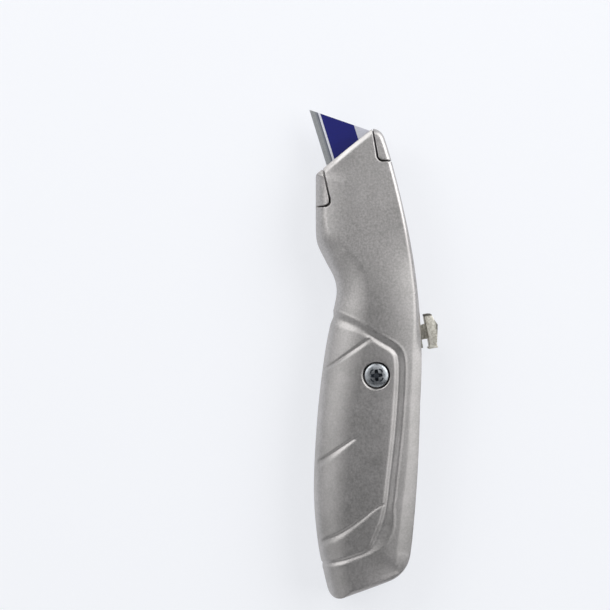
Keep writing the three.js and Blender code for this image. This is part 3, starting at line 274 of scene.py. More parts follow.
def groove_depth(places, from_outline):
    """How deep the cast grooves are below the face at each place."""
    _, foot, travelled, normal = nearest_on(PANEL_LINE, places)
    inside = -np.sum((places - foot) * normal, -1)
    total = np.linalg.norm(np.diff(PANEL_LINE, axis=0), axis=1).sum()
    at_waist = smooth_step(-travelled, -19, -4)
    to_butt = smooth_step(travelled, total - 40, total - 30)
    along_butt = smooth_step(travelled, total - 27, total - 20)
    bevel = PANEL_BEVEL + 1.4 * at_waist - 0.7 * along_butt
    bank = OUTER_BANK + 1.6 * to_butt - 2.2 * along_butt
    across = np.where(inside > 0, inside / bevel, inside / bank)
    depth = GROOVE_DEPTH - 0.26 * at_waist - 0.2 * along_butt
    depth = depth * np.interp(across, *GROOVE_SECTION)
    for points, outer_width, inner_width in FINGER_LINES:
        line = smooth_line(points, 10)
        _, foot, travelled, normal = nearest_on(line, places)
        total = np.linalg.norm(np.diff(line, axis=0), axis=1).sum()
        share = travelled / total
        back = -np.sum((places - foot) * normal, -1)
        width = outer_width + (inner_width - outer_width) * share
        beyond = np.linalg.norm(places - foot, axis=1) - np.abs(back)
        sunk = np.interp(back / width, *FINGER_SECTION) * smooth_step(-beyond, -0.9, -0.05)
        cut = FINGER_DEPTH * sunk * smooth_step(from_outline, 0, 2.5)
        depth = np.where(sunk > 0, np.maximum(depth, cut), depth)
    return depth


def shares(length, near, near_count, step):
    """Places along a side, from 0 to 1: close together within `near` of both ends."""
    end = near * (np.arange(near_count) / near_count) ** 1.5
    middle = np.linspace(near, length - near, round((length - 2 * near) / step) + 1)
    return np.concatenate([end, middle, (length - end)[::-1]]) / length


def resampled(line, places):
    """The line's points at those shares of its length."""
    travelled = np.concatenate([[0], np.cumsum(np.linalg.norm(np.diff(line, axis=0), axis=1))])
    at = places * travelled[-1]
    return np.stack([np.interp(at, travelled, line[:, k]) for k in (0, 1)], -1)


# The outline's four sides between its corners: spine, nose, belly and butt.
CORNERS = [(-71.0, -9.2), (87.7, -0.4), (72.9, 20.9), (-79.9, 15.6)]
corner_index = [int(np.argmin(np.linalg.norm(outline - place, axis=1))) for place in CORNERS]
from_butt = np.roll(outline, -corner_index[0], axis=0)
from_butt = np.vstack([from_butt, from_butt[:1]])
stops = [(index - corner_index[0]) % len(outline) for index in corner_index] + [len(outline)]
SIDES = [from_butt[start : end + 1] for start, end in zip(stops, stops[1:])]


def faced_out(bm):
    """The closed mesh with all its faces pointing outwards."""
    bm.normal_update()
    bmesh.ops.recalc_face_normals(bm, faces=bm.faces)
    return bm


BODY_LENGTH, BODY_WIDTH = 166.0, 33.0


def body_blank(length_step, width_step, inset=0.0, sunk=0.0, bottom=PARTING + SEAM, grooved=True):
    """One solid half of the body without its hollows: a grid is drawn out to the outline, domed
    down at its edges, and its border is pulled down to the bottom."""
    rows = shares(BODY_LENGTH, 4, round(9 / length_step + 2) // 2, length_step)
    columns = shares(BODY_WIDTH, 3, round(9 / width_step + 2) // 2, width_step)
    spine, nose, belly, butt = [
        side + inset * nearest_on(closed_outline, side)[3] for side in SIDES
    ]
    spine = resampled(spine, rows)[:, None]
    belly = resampled(belly[::-1], rows)[:, None]
    nose = resampled(nose, columns)[None]
    butt = resampled(butt[::-1], columns)[None]
    u, v = rows[:, None, None], columns[None, :, None]
    at_butt = (1 - v) * spine[0] + v * belly[0]
    at_nose = (1 - v) * spine[-1] + v * belly[-1]
    corners = (1 - u) * at_butt + u * at_nose
    plan = (1 - v) * spine + v * belly + (1 - u) * butt + u * nose - corners
    places = plan.reshape(-1, 2)
    drop, gap = rounded_off(places, closed_outline, 1.0)
    drop = np.maximum(drop, rounded_off(places, long_sides, 0.0)[0])
    z = PARTING + half_thickness(places[:, 0]) - crown(places) - drop - sunk
    skin = np.column_stack([places, z]).reshape(*plan.shape[:2], 3)
    if grooved:
        normal = np.cross(np.gradient(skin, axis=0), np.gradient(skin, axis=1))
        normal /= np.linalg.norm(normal, axis=-1, keepdims=True)
        normal *= np.sign(normal[len(rows) // 2, len(columns) // 2, 2])
        skin -= normal * groove_depth(places, gap).reshape(*plan.shape[:2], 1)
        skin[..., 2] = np.minimum(skin[..., 2], PARTING + GRIP_HALF)

    bm = bmesh.new()
    across, along = len(columns) - 1, len(rows) - 1
    bmesh.ops.create_grid(bm, x_segments=along, y_segments=across, size=0.5)
    for vert in bm.verts:
        vert.co = skin[round((vert.co.x + 0.5) * along), round((vert.co.y + 0.5) * across)]
    for height, inwards in ((bottom + SEAM_EDGE, 0), (bottom, SEAM_EDGE)):
        border = [edge for edge in bm.edges if edge.is_boundary]
        made = bmesh.ops.extrude_edge_only(bm, edges=border)["geom"]
        lowered = [item for item in made if isinstance(item, bmesh.types.BMVert)]
        way_in = nearest_on(closed_outline, np.array([vert.co[:2] for vert in lowered]))[3]
        for vert, way in zip(lowered, way_in):
            vert.co = (*(np.array(vert.co[:2]) + inwards * way), height)
    border = [edge for edge in bm.edges if edge.is_boundary]
    bmesh.ops.contextual_create(bm, geom=border)
    return faced_out(bm)


def turned_over(bm):
    """The rear half's shape from the front half's."""
    for vert in bm.verts:
        vert.co.z = 2 * PARTING - vert.co.z
    return faced_out(bm)


def shape(bm, name="shape"):
    """An object with the finished mesh."""
    mesh = bpy.data.meshes.new(name)
    bm.to_mesh(mesh)
    bm.free()
    made = bpy.data.objects.new(name, mesh)
    bpy.context.scene.collection.objects.link(made)
    return made


def combined(base, tool, operation):
    """base after a boolean operation with tool, which is used up."""
    modifier = base.modifiers.new("combine", "BOOLEAN")
    modifier.operation = operation
    modifier.solver = "MANIFOLD"
    modifier.object = tool
    depsgraph = bpy.context.evaluated_depsgraph_get()
    result = bpy.data.meshes.new_from_object(base.evaluated_get(depsgraph))
    base.modifiers.clear()
    base.data = result
    bpy.data.objects.remove(tool)
    return base


def cad_shape(node):
    """A merged copy of a frame node, in millimetres."""
    bm = bmesh.new()
    bm.from_mesh(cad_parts[node].data)
    bmesh.ops.remove_doubles(bm, verts=bm.verts, dist=1e-6)
    bmesh.ops.scale(bm, verts=bm.verts, vec=(1 / MM,) * 3)
    return shape(bm, node)


def lofted(loops):
    """A solid through loops of points, which all have the same number of points."""
    bm = bmesh.new()
    rings = []
    for loop in loops:
        verts = [bm.verts.new(point) for point in loop]
        rings.append([bm.edges.new(pair) for pair in zip(verts, verts[1:] + verts[:1])])
    for lower, upper in zip(rings, rings[1:]):
        bmesh.ops.bridge_loops(bm, edges=lower + upper)
    for ring in (rings[0], rings[-1]):
        bmesh.ops.contextual_create(bm, geom=ring)
    return faced_out(bm)


def swept(section, start, degrees, steps):
    """A section of (radius, height) points swept round the centre of the spine's curve."""
    bm = bmesh.new()
    face = bm.faces.new([bm.verts.new((*on_arc(radius, start), z)) for radius, z in section])
    bmesh.ops.spin(
        bm, geom=[face, *face.edges, *face.verts], cent=(*ARC_CENTRE, 0), axis=(0, 0, 1),
        angle=math.radians(degrees), steps=steps,
    )
    return faced_out(bm)


def turned(profile, steps):
    """A solid of revolution about the body screw's axis. Its profile starts and ends there."""
    bm = bmesh.new()
    verts = [bm.verts.new((radius, 0, z)) for radius, z in profile]
    edges = [bm.edges.new(pair) for pair in zip(verts, verts[1:])]
    bmesh.ops.spin(
        bm, geom=[*verts, *edges], cent=(0, 0, 0), axis=(0, 0, 1), angle=math.tau, steps=steps,
        use_merge=True,
    )
    bmesh.ops.remove_doubles(bm, verts=bm.verts, dist=1e-4)
    return faced_out(bm)


# The rear half's two lugs at the nose: tip, slope and rear end of each plan, and its side.
EARS = [((73.9, 19.5), 0.226, 60.8, 1), ((88.0, 0.9), 0.17, 77.1, -1)]
EAR_CORNER = 2.0
EAR_GAP = 0.68
EAR_EDGE = 0.22


def ear_plan(tip, slope, rear, away, gap):
    """Plan of a lug: an edge that runs back from the nose edge, then turns off."""
    shift = -away * gap * math.hypot(1, slope)
    front = np.array([tip[0] + 9, tip[1] + 9 * slope + shift])
    corner = np.array([rear - gap, tip[1] + (rear - gap - tip[0]) * slope + shift])
    off = np.array([rear - gap, away * 32])
    turn = rounded_corner(front, corner, off, EAR_CORNER + gap, 10)
    return np.vstack([front, turn, off, (front[0], off[1])])


def ear_block(ear, low, gap, flare):
    """A block over one lug's plan. Near the face it widens by the flare, or narrows if negative."""
    loops = []
    for wider, above in ((0, None), (0, -abs(flare)), (flare * 2, abs(flare)), (flare * 2, 6)):
        plan = ear_plan(*ear, gap + wider)
        face = PARTING + half_thickness(plan[:, 0]) - crown(plan)
        height = np.full(len(plan), low) if above is None else face + above
        loops.append(np.column_stack([plan, height]))
    return shape(lofted(loops))


# The curved channel that the carriage runs in, and its two ways out.
CHANNEL_OUTER = SPINE_RADIUS - 1.9
CHANNEL_INNER = 206.25
MOUTH_HALF = 0.74
SLOT_HALF = 2.52


def across_parting(inner, outer, half):
    """A section with those radii, as high above the parting plane as below it."""
    low, high = PARTING - half, PARTING + half
    return [(inner, low), (outer, low), (outer, high), (inner, high)]


def mouth():
    """The blade's way out through the nose edge."""
    section = across_parting(CHANNEL_INNER - 0.05, CHANNEL_OUTER + 0.05, MOUTH_HALF)
    return shape(swept(section, 17, 9, 24))


def spine_slot():
    """The slot that the thumb button's stem runs in."""
    section = across_parting(CHANNEL_OUTER - 1, SPINE_RADIUS + 2, SLOT_HALF)
    return shape(swept(section, -6.28, 10.4, 60))


LENGTH_STEP, WIDTH_STEP = ((0.42, 0.42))
WALL = 1.3  # least wall left round the hollows
LOCATING_PINS = [(49.0, 14.4), (-65.5, -8.0)]
PIN_RADIUS = 1.5
SCREW_SEAT = 2 * GRIP_HALF - 3.0
BORE_RADIUS = 4.88
BORE_MOUTH = 5.4  # the counterbore's radius at the face, past its chamfer


def hollows(node, bottom, over):
    """The room inside a CAD half, as a solid that reaches past the parting plane."""
    core = body_blank(3.0, 2.5, inset=WALL, sunk=WALL, bottom=bottom, grooved=False)
    if over:
        turned_over(core)
    return combined(shape(core), cad_shape(node), "DIFFERENCE")


blank = body_blank(LENGTH_STEP, WIDTH_STEP)
front = shape(blank.copy())
rear = shape(turned_over(blank))
for opening in (hollows("front_body_half", PARTING - 1, False), mouth(), spine_slot()):
    combined(front, opening, "DIFFERENCE")
for opening in (hollows("rear_body_half", PARTING - 1, True), mouth(), spine_slot()):
    combined(rear, opening, "DIFFERENCE")
for ear in EARS:
    combined(front, ear_block(ear, PARTING - 2, EAR_GAP, EAR_EDGE), "DIFFERENCE")
    corner = shape(body_blank(LENGTH_STEP, WIDTH_STEP, bottom=PARTING - 1, grooved=False))
    combined(corner, ear_block(ear, PARTING - 1.5, 0, -EAR_EDGE), "INTERSECT")
    combined(corner, mouth(), "DIFFERENCE")
    combined(rear, corner, "UNION")
counterbore = [
    (0, SCREW_SEAT), (BORE_RADIUS, SCREW_SEAT), (BORE_RADIUS, 21.6), (BORE_MOUTH, 22.12),
    (BORE_MOUTH, 24), (0, 24),
]
combined(front, shape(turned(counterbore, 72)), "DIFFERENCE")
for x, y in LOCATING_PINS:
    pin = turned([
        (0, 8), (PIN_RADIUS - 0.4, 8), (PIN_RADIUS, 8.4), (PIN_RADIUS, 12), (0, 12),
    ], 32)
    bmesh.ops.translate(pin, verts=pin.verts, vec=(x, y, 0))
    combined(front, shape(pin), "UNION")


def finished(made, name, material, angle=32):
    """The shape in metres under its final name, shaded smooth except across sharp edges."""
    made.name = name
    made.data.name = name
    made.data.materials.clear()
    made.data.materials.append(material)
    made.data.polygons.foreach_set("material_index", [0] * len(made.data.polygons))
    made.data.transform(Matrix.Scale(MM, 4))
    made.data.shade_smooth()
    made.data.set_sharp_from_angle(angle=math.radians(angle))
    return made


def mark_wear_and_highlight(made):
    """Stores how far the narrow outer edges are lightened, partly wear and partly a painted
    highlight.
    """
    places = np.empty(len(made.data.vertices) * 3)
    made.data.vertices.foreach_get("co", places)
    places = places.reshape(-1, 3)
    gap, foot, _, _ = nearest_on(closed_outline, places[:, :2])
    width = edge_rounding(foot)[0]
    narrow = smooth_step(-width, -5, -2) * smooth_step(foot[:, 0], -74, -64)
    below = half_thickness(places[:, 0]) - np.abs(places[:, 2] - PARTING)
    wear_and_highlight = narrow * smooth_step(1 - gap / width, 0.05, 0.35) * smooth_step(-below, -1.3, -0.7)
    made.data.attributes.new("wear_and_highlight", "FLOAT", "POINT").data.foreach_set("value", wear_and_highlight)


def colour(code):
    """A linear colour from its sRGB hex value."""
    parts = [int(code[i : i + 2], 16) / 255 for i in (0, 2, 4)]
    return (*(c / 12.92 if c <= 0.04045 else ((c + 0.055) / 1.055) ** 2.4 for c in parts), 1)


def node(tree, kind, inputs=(), stops=(), **settings):
    """A node with its settings, its ramp's stops, and its inputs set to values or linked to other
    nodes' sockets."""
    made = tree.nodes.new(kind)
    for name, value in settings.items():
        setattr(made, name, value)
    for number, (place, shade) in enumerate(stops):
        steps = made.color_ramp.elements
        step = steps[number] if number < 2 else steps.new(place)
        step.position, step.color = place, shade
    for name, value in dict(inputs).items():
        if isinstance(value, bpy.types.NodeSocket):
            tree.links.new(value, made.inputs[name])
        else:
            made.inputs[name].default_value = value
    return made


def new_material(name):
    """A material and its empty node tree."""
    material = bpy.data.materials.new(name)
    material.use_nodes = True
    material.node_tree.nodes.clear()
    return material, material.node_tree


# Shot-blasted zinc casting: a satin grey with a fine grain that breaks highlights into soft bands,
# slightly cloudy where the blast was heavier, smoother where the grip is held, and lighter along
# its narrow edges, partly as wear and partly as a painted highlight. The grain is drawn a little
# coarser than real so that it shows.
cast_zinc, tree = new_material("shot_blasted_cast_zinc")
place = node(tree, "ShaderNodeTexCoord").outputs["Object"]
grain = node(tree, "ShaderNodeTexNoise", {
    "Vector": place, "Scale": 1 / (0.7 * MM), "Detail": 2.0, "Roughness": 0.6,
})
clouds = node(tree, "ShaderNodeTexNoise", {
    "Vector": place, "Scale": 1 / (14 * MM), "Detail": 3.0, "Roughness": 0.6,
})
along = node(tree, "ShaderNodeSeparateXYZ", {"Vector": place}).outputs["X"]
handled = node(tree, "ShaderNodeMapRange", {
    "Value": along, "From Min": 45 * MM, "From Max": -5 * MM, "To Min": 0.25, "To Max": 0.55,
})
mixed = node(tree, "ShaderNodeMix", {
    "Factor": handled.outputs["Result"], "A": grain.outputs["Fac"], "B": clouds.outputs["Fac"],
})
tone = node(tree, "ShaderNodeValToRGB", {
    "Fac": mixed.outputs["Result"],
}, stops=[(0.34, colour("aaa8a6")), (0.66, colour("c7c4c3"))])
# Painted highlight, partly wear too: the narrow outer edges are lightened in colour.
wear_and_highlight = node(tree, "ShaderNodeAttribute", attribute_name="wear_and_highlight").outputs["Fac"]
rubbed_and_highlighted = node(tree, "ShaderNodeMix", {
    0: wear_and_highlight, 6: tone.outputs["Color"], 7: colour("d8d5d3"),
}, data_type="RGBA")
rough = node(tree, "ShaderNodeMapRange", {
    "Value": grain.outputs["Fac"],
    "From Min": 0.3, "From Max": 0.7, "To Min": 0.40, "To Max": 0.48,
})
smoothed = node(tree, "ShaderNodeMapRange", {
    "Value": along, "From Min": 80 * MM, "From Max": -5 * MM, "To Min": 0.5, "To Max": 0.18,
})
blasted = node(tree, "ShaderNodeBump", {
    "Height": grain.outputs["Fac"], "Strength": smoothed.outputs["Result"], "Distance": 0.04 * MM,
})
shader = node(tree, "ShaderNodeBsdfPrincipled", {
    "Base Color": rubbed_and_highlighted.outputs[2], "Metallic": 1.0, "Roughness": rough.outputs["Result"],
    "Normal": blasted.outputs["Normal"],
})
node(tree, "ShaderNodeOutputMaterial", {"Surface": shader.outputs["BSDF"]})

for half in (front, rear):
    mark_wear_and_highlight(half)
front = finished(front, "front_half_casting", cast_zinc, 45)
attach(front, "front_half")
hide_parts("front_body_half")
rear = finished(rear, "rear_half_casting", cast_zinc, 45)
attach(rear, "rear_half")
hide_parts("rear_body_half")

# ---- Body screw -----------------------------------------------------------------------------
# A zinc-plated steel machine screw, cold-headed with a low dome and a cross recess. It sits in a
# counterbore in the front half and is tapped into a boss in the rear half.
screw_near, screw_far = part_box("body_screw")
screw_low, screw_high = screw_near.z / MM, screw_far.z / MM
HEAD_RADIUS = (screw_far.x - screw_near.x) / 2 / MM
HEAD_RIM = 1.7  # height of the head's straight rim
UNDER_HEAD = screw_high - 2.6
THREAD_PITCH = 0.7
THREAD_ROOT = 1.62
THREAD_RADIUS = 2.0

profile = [(0, screw_low), (1.3, screw_low), (THREAD_ROOT, screw_low + 0.4)]
thread = screw_low + 0.5
while thread < PARTING - 1.0:
    profile += [
        (THREAD_RADIUS, thread + 0.3 * THREAD_PITCH), (THREAD_RADIUS, thread + 0.42 * THREAD_PITCH),
        (THREAD_ROOT, thread + 0.85 * THREAD_PITCH), (THREAD_ROOT, thread + THREAD_PITCH),
    ]
    thread += THREAD_PITCH
profile += [(THREAD_RADIUS - 0.1, thread + 0.3), (THREAD_RADIUS - 0.1, UNDER_HEAD)]
profile += [(HEAD_RADIUS - 0.15, UNDER_HEAD), (HEAD_RADIUS, UNDER_HEAD + 0.15)]
rim = UNDER_HEAD + HEAD_RIM
rise = screw_high - rim
profile += [
    (HEAD_RADIUS * math.cos(turn) ** 0.8, rim + rise * math.sin(turn) ** 1.15)
    for turn in np.linspace(0, math.pi / 2, 16)[:-1]
]
profile.append((0, screw_high))
screw = shape(turned(profile, 64))


def cross_plan(reach, half, z):
    """Plan of the driver's recess: four wings."""
    quarter = [(reach, -half), (reach, half), (half * 1.25, half * 1.25)]
    turns = [Matrix.Rotation(k * math.pi / 2 + math.radians(4), 2) for k in range(4)]
    return [(*(turn @ Vector(point)), z) for turn in turns for point in quarter]


recess = [
    cross_plan(0.95, 0.4, screw_high - 2.0), cross_plan(1.8, 0.45, screw_high - 1.1),
    cross_plan(2.3, 0.6, screw_high + 0.3),
]
combined(screw, shape(lofted(recess)), "DIFFERENCE")
for number in range(4):
    turn = Matrix.Rotation(math.radians(49 + 90 * number), 3, "Z")
    mark = [(2.0, -0.95), (2.55, -0.8), (2.75, 0), (2.55, 0.8), (2.0, 0.95), (2.25, 0)]
    tick = lofted([
        [turn @ Vector((x, y, z)) for x, y in mark] for z in (screw_high - 0.9, screw_high)
    ])
    combined(screw, shape(tick), "DIFFERENCE")

# Zinc plate over headed steel: brighter and bluer than the casting and faintly mottled, with
# painted shade darkening the recess and the marks round it.
plated_steel, tree = new_material("zinc_plated_steel")
place = node(tree, "ShaderNodeTexCoord").outputs["Object"]
mottle = node(tree, "ShaderNodeTexNoise", {
    "Vector": place, "Scale": 1 / (1.2 * MM), "Detail": 4.0, "Roughness": 0.6,
})
tone = node(tree, "ShaderNodeValToRGB", {
    "Fac": mottle.outputs["Fac"],
}, stops=[(0.3, colour("9a9fa3")), (0.7, colour("c9cdd1"))])
rough = node(tree, "ShaderNodeMapRange", {
    "Value": mottle.outputs["Fac"],
    "From Min": 0.3, "From Max": 0.7, "To Min": 0.26, "To Max": 0.36,
})
# Painted shade: below the dome's top and within the recess's reach the colour is darkened.
height = node(tree, "ShaderNodeSeparateXYZ", {"Vector": place}).outputs["Z"]
sunk = node(tree, "ShaderNodeMapRange", {
    "Value": height, "From Min": (screw_high - 0.35) * MM, "From Max": (screw_high - 0.6) * MM,
})
across = node(tree, "ShaderNodeVectorMath", {0: place, 1: (1, 1, 0)}, operation="MULTIPLY")
radius = node(tree, "ShaderNodeVectorMath", {0: across.outputs[0]}, operation="LENGTH")
within = node(tree, "ShaderNodeMapRange", {
    "Value": radius.outputs["Value"], "From Min": 2.95 * MM, "From Max": 2.8 * MM,
})
painted_recess_shade = node(tree, "ShaderNodeMath", {
    0: sunk.outputs["Result"], 1: within.outputs["Result"],
}, operation="MULTIPLY")
recess_shaded = node(tree, "ShaderNodeMix", {
    0: painted_recess_shade.outputs[0], 6: tone.outputs["Color"], 7: colour("747a82"),
}, data_type="RGBA")
shader = node(tree, "ShaderNodeBsdfPrincipled", {
    "Base Color": recess_shaded.outputs[2], "Metallic": 1.0, "Roughness": rough.outputs["Result"],
})
node(tree, "ShaderNodeOutputMaterial", {"Surface": shader.outputs["BSDF"]})
screw = finished(screw, "body_screw_turned", plated_steel, 40)
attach(screw, "front_half")
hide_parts("body_screw")

# ---- Blade carrier and its magnet -----------------------------------------------------------
# A plain zinc casting that slides in the curved channel, with the blade lying on its plate, and a
# flat ferrite magnet pressed into the plate to hold the blade down.


def softened(name, edge, angle=30):
    """A CAD node's shape with its sharp edges rounded over."""
    bm = bmesh.new()
    copied = cad_shape(name)
    bm.from_mesh(copied.data)
    bpy.data.objects.remove(copied)
    bmesh.ops.dissolve_limit(
        bm, angle_limit=math.radians(1), verts=bm.verts, edges=bm.edges, delimit={"NORMAL"},
    )
    sharp = [e for e in bm.edges if e.is_manifold and e.calc_face_angle() > math.radians(angle)]
    bmesh.ops.bevel(
        bm, geom=sharp, offset=edge, segments=2, profile=0.5, affect="EDGES", material=-1,
        clamp_overlap=True,
    )
    return faced_out(bm)


# Zinc as it leaves the die: warmer and duller than the blasted body, with flow marks that change
# its gloss in patches.
plain_zinc, tree = new_material("as_cast_zinc")
place = node(tree, "ShaderNodeTexCoord").outputs["Object"]
flow = node(tree, "ShaderNodeTexNoise", {
    "Vector": place, "Scale": 1 / (2.5 * MM), "Detail": 5.0, "Roughness": 0.65,
})
tone = node(tree, "ShaderNodeValToRGB", {
    "Fac": flow.outputs["Fac"],
}, stops=[(0.3, colour("96958c")), (0.7, colour("c3c1b6"))])
rough = node(tree, "ShaderNodeMapRange", {
    "Value": flow.outputs["Fac"],
    "From Min": 0.3, "From Max": 0.7, "To Min": 0.32, "To Max": 0.5,
})
dented = node(tree, "ShaderNodeBump", {
    "Height": flow.outputs["Fac"], "Strength": 0.35, "Distance": 0.08 * MM,
})
shader = node(tree, "ShaderNodeBsdfPrincipled", {
    "Base Color": tone.outputs["Color"], "Metallic": 1.0, "Roughness": rough.outputs["Result"],
    "Normal": dented.outputs["Normal"],
})
node(tree, "ShaderNodeOutputMaterial", {"Surface": shader.outputs["BSDF"]})
carrier = finished(shape(softened("blade_carrier", 0.2)), "carrier_casting", plain_zinc)
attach(carrier, "carriage")
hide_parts("blade_carrier")

# Pressed and sintered ferrite: a dark, matt ceramic grey, finely pitted.
ferrite, tree = new_material("sintered_ferrite")
place = node(tree, "ShaderNodeTexCoord").outputs["Object"]
pores = node(tree, "ShaderNodeTexNoise", {
    "Vector": place, "Scale": 1 / (0.4 * MM), "Detail": 3.0, "Roughness": 0.7,
})
tone = node(tree, "ShaderNodeValToRGB", {
    "Fac": pores.outputs["Fac"],
}, stops=[(0, colour("26272a")), (1, colour("4a4b4f"))])
pitted = node(tree, "ShaderNodeBump", {
    "Height": pores.outputs["Fac"], "Strength": 0.3, "Distance": 0.04 * MM,
})
shader = node(tree, "ShaderNodeBsdfPrincipled", {
    "Base Color": tone.outputs["Color"], "Metallic": 0.2, "Roughness": 0.55,
    "Normal": pitted.outputs["Normal"],
})
node(tree, "ShaderNodeOutputMaterial", {"Surface": shader.outputs["BSDF"]})
magnet = finished(shape(softened("carrier_magnet", 0.25)), "holding_magnet", ferrite)
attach(magnet, "carriage")
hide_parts("carrier_magnet")

# ---- Blades ---------------------------------------------------------------------------------
# Double-ended blades pressed from hardened steel strip, ground to an edge on both sides, with two
# notches in the back. A blue lacquer covers the flats between the ground edge and the bare back.
BLADE_LENGTH = 61.0
BLADE_BACK = 33.0
BLADE_WIDTH = 19.0
BLADE_THICKNESS = 0.64
GROUND = 2.9  # width of the ground bevel
HONED = 0.55  # width of the honed strip at its edge
LACQUER_FROM = 3.3
LACQUER_TO = 13.7
NOTCH_PLACES = (-4.2, 4.2)
NOTCH_HALF = 1.65
NOTCH_DEPTH = 4.6


def pressed_blade(name, origin, degrees, middle):
    """A blade with the middle of its back at origin, turned by those degrees, and its thickness
    centred on the height middle. Each point's place on the blade is kept for its finish."""
    points = [(-BLADE_BACK / 2, 0)]
    for x in NOTCH_PLACES:
        points.append((x - NOTCH_HALF, 0))
        straight = NOTCH_DEPTH - NOTCH_HALF
        points += [
            (x - NOTCH_HALF * math.cos(turn), straight + NOTCH_HALF * math.sin(turn))
            for turn in np.linspace(0, math.pi, 13)
        ]
        points.append((x + NOTCH_HALF, 0))
    points.append((BLADE_BACK / 2, 0))
    points += [(BLADE_LENGTH / 2, BLADE_WIDTH), (-BLADE_LENGTH / 2, BLADE_WIDTH)]
    bm = bmesh.new()
    face = bm.faces.new([bm.verts.new((*point, -BLADE_THICKNESS / 2)) for point in points])
    raised = bmesh.ops.extrude_face_region(bm, geom=[face])["geom"]
    raised = [item for item in raised if isinstance(item, bmesh.types.BMVert)]
    bmesh.ops.translate(bm, verts=raised, vec=(0, 0, BLADE_THICKNESS))
    for from_edge in (GROUND, HONED):
        bmesh.ops.bisect_plane(
            bm, geom=[*bm.verts, *bm.edges, *bm.faces], dist=1e-5,
            plane_co=(0, BLADE_WIDTH - from_edge, 0), plane_no=(0, 1, 0),
        )
    for vert in bm.verts:
        vert.co.z *= np.interp(BLADE_WIDTH - vert.co.y, [0, HONED, GROUND], [0.06, 0.34, 1])
    made = shape(faced_out(bm))
    on_blade = made.data.attributes.new("on_blade", "FLOAT_VECTOR", "POINT")
    for vert, entry in zip(made.data.vertices, on_blade.data):
        entry.vector = vert.co
    made.data.transform(
        Matrix.Translation((*origin, middle)) @ Matrix.Rotation(math.radians(degrees), 4, "Z")
    )
    return finished(made, name, blade_steel, 5)


# Polished steel with blue lacquer: the lacquer's edges are crisp, the ground bevel darkens in
# bands towards it, fine scratches run square to the edge, and the honed strip is the brightest.
blade_steel, tree = new_material("blue_lacquered_blade_steel")
place = node(tree, "ShaderNodeAttribute", attribute_name="on_blade")
parts = node(tree, "ShaderNodeSeparateXYZ", {"Vector": place.outputs["Vector"]})
from_edge = node(tree, "ShaderNodeMath", {
    0: BLADE_WIDTH, 1: parts.outputs["Y"],
}, operation="SUBTRACT").outputs[0]
stroke = node(tree, "ShaderNodeMapping", {
    "Vector": place.outputs["Vector"], "Scale": (6.0, 0.35, 1.0),
})
scratches = node(tree, "ShaderNodeTexNoise", {
    "Vector": stroke.outputs["Vector"], "Scale": 1.0, "Detail": 3.0, "Roughness": 0.7,
})
# Each finish changes in steps over the blade's width, from the edge to the back.
share = node(tree, "ShaderNodeMath", {0: from_edge, 1: BLADE_WIDTH}, operation="DIVIDE")
finishes = {}
for finish, steps in {
    "tint": [
        (0, colour("dcdee0")), (HONED, colour("b4b7b9")), (1.6, colour("a2a5ab")),
        (2.15, colour("808590")), (2.55, colour("eceef6")), (LACQUER_FROM, colour("0a1270")),
        (LACQUER_TO, colour("dfe0ea")),
    ],
    "bare_steel": [(0, 1), (2.55, 0.35), (LACQUER_FROM, 0), (LACQUER_TO, 0.38)],
    "roughness": [(0, 0.3), (HONED, 0.5), (GROUND, 0.4), (LACQUER_FROM, 0.38), (LACQUER_TO, 0.36)],
}.items():
    stops = [
        (start / BLADE_WIDTH, value if finish == "tint" else (value, value, value, 1))
        for start, value in steps
    ]
    ramp = node(tree, "ShaderNodeValToRGB", {"Fac": share.outputs[0]}, stops=stops)
    ramp.color_ramp.interpolation = "CONSTANT"
    finishes[finish] = ramp.outputs["Color"]
streaks = node(tree, "ShaderNodeMapRange", {
    "Value": scratches.outputs["Fac"],
    "From Min": 0.3, "From Max": 0.7, "To Min": 0.85, "To Max": 1.1,
})
tinted = node(tree, "ShaderNodeVectorMath", {
    0: finishes["tint"], "Scale": streaks.outputs["Result"],
}, operation="SCALE")
worn = node(tree, "ShaderNodeBump", {
    "Height": scratches.outputs["Fac"], "Strength": 0.12, "Distance": 0.01 * MM,
})
shader = node(tree, "ShaderNodeBsdfPrincipled", {
    "Base Color": tinted.outputs["Vector"], "Metallic": finishes["bare_steel"],
    "Roughness": finishes["roughness"], "Normal": worn.outputs["Normal"],
})
node(tree, "ShaderNodeOutputMaterial", {"Surface": shader.outputs["BSDF"]})

BLADE_ANGLE = 17.2
BACK_RADIUS = 225.75  # of the middle of the fitted blade's back, about the spine's centre
fitted = pressed_blade(
    "blade_fitted", on_arc(BACK_RADIUS, BLADE_ANGLE), BLADE_ANGLE, PARTING,
)
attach(fitted, "carriage")
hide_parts("blade")
for number in (1, 2):
    low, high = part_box(f"spare_blade_{number}")
    place_of_back = ((low.x + high.x) / 2 / MM, low.y / MM)
    spare = pressed_blade(f"spare_{number}", place_of_back, 0, (low.z + high.z) / 2 / MM)
    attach(spare, "rear_half")
    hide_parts(f"spare_blade_{number}")

# ---- Lock spring and storage clip -----------------------------------------------------------
# Strips of blued spring steel. One is riveted under the carrier's arm and its tooth drops into
# the rack. The other is riveted over the spare blades.

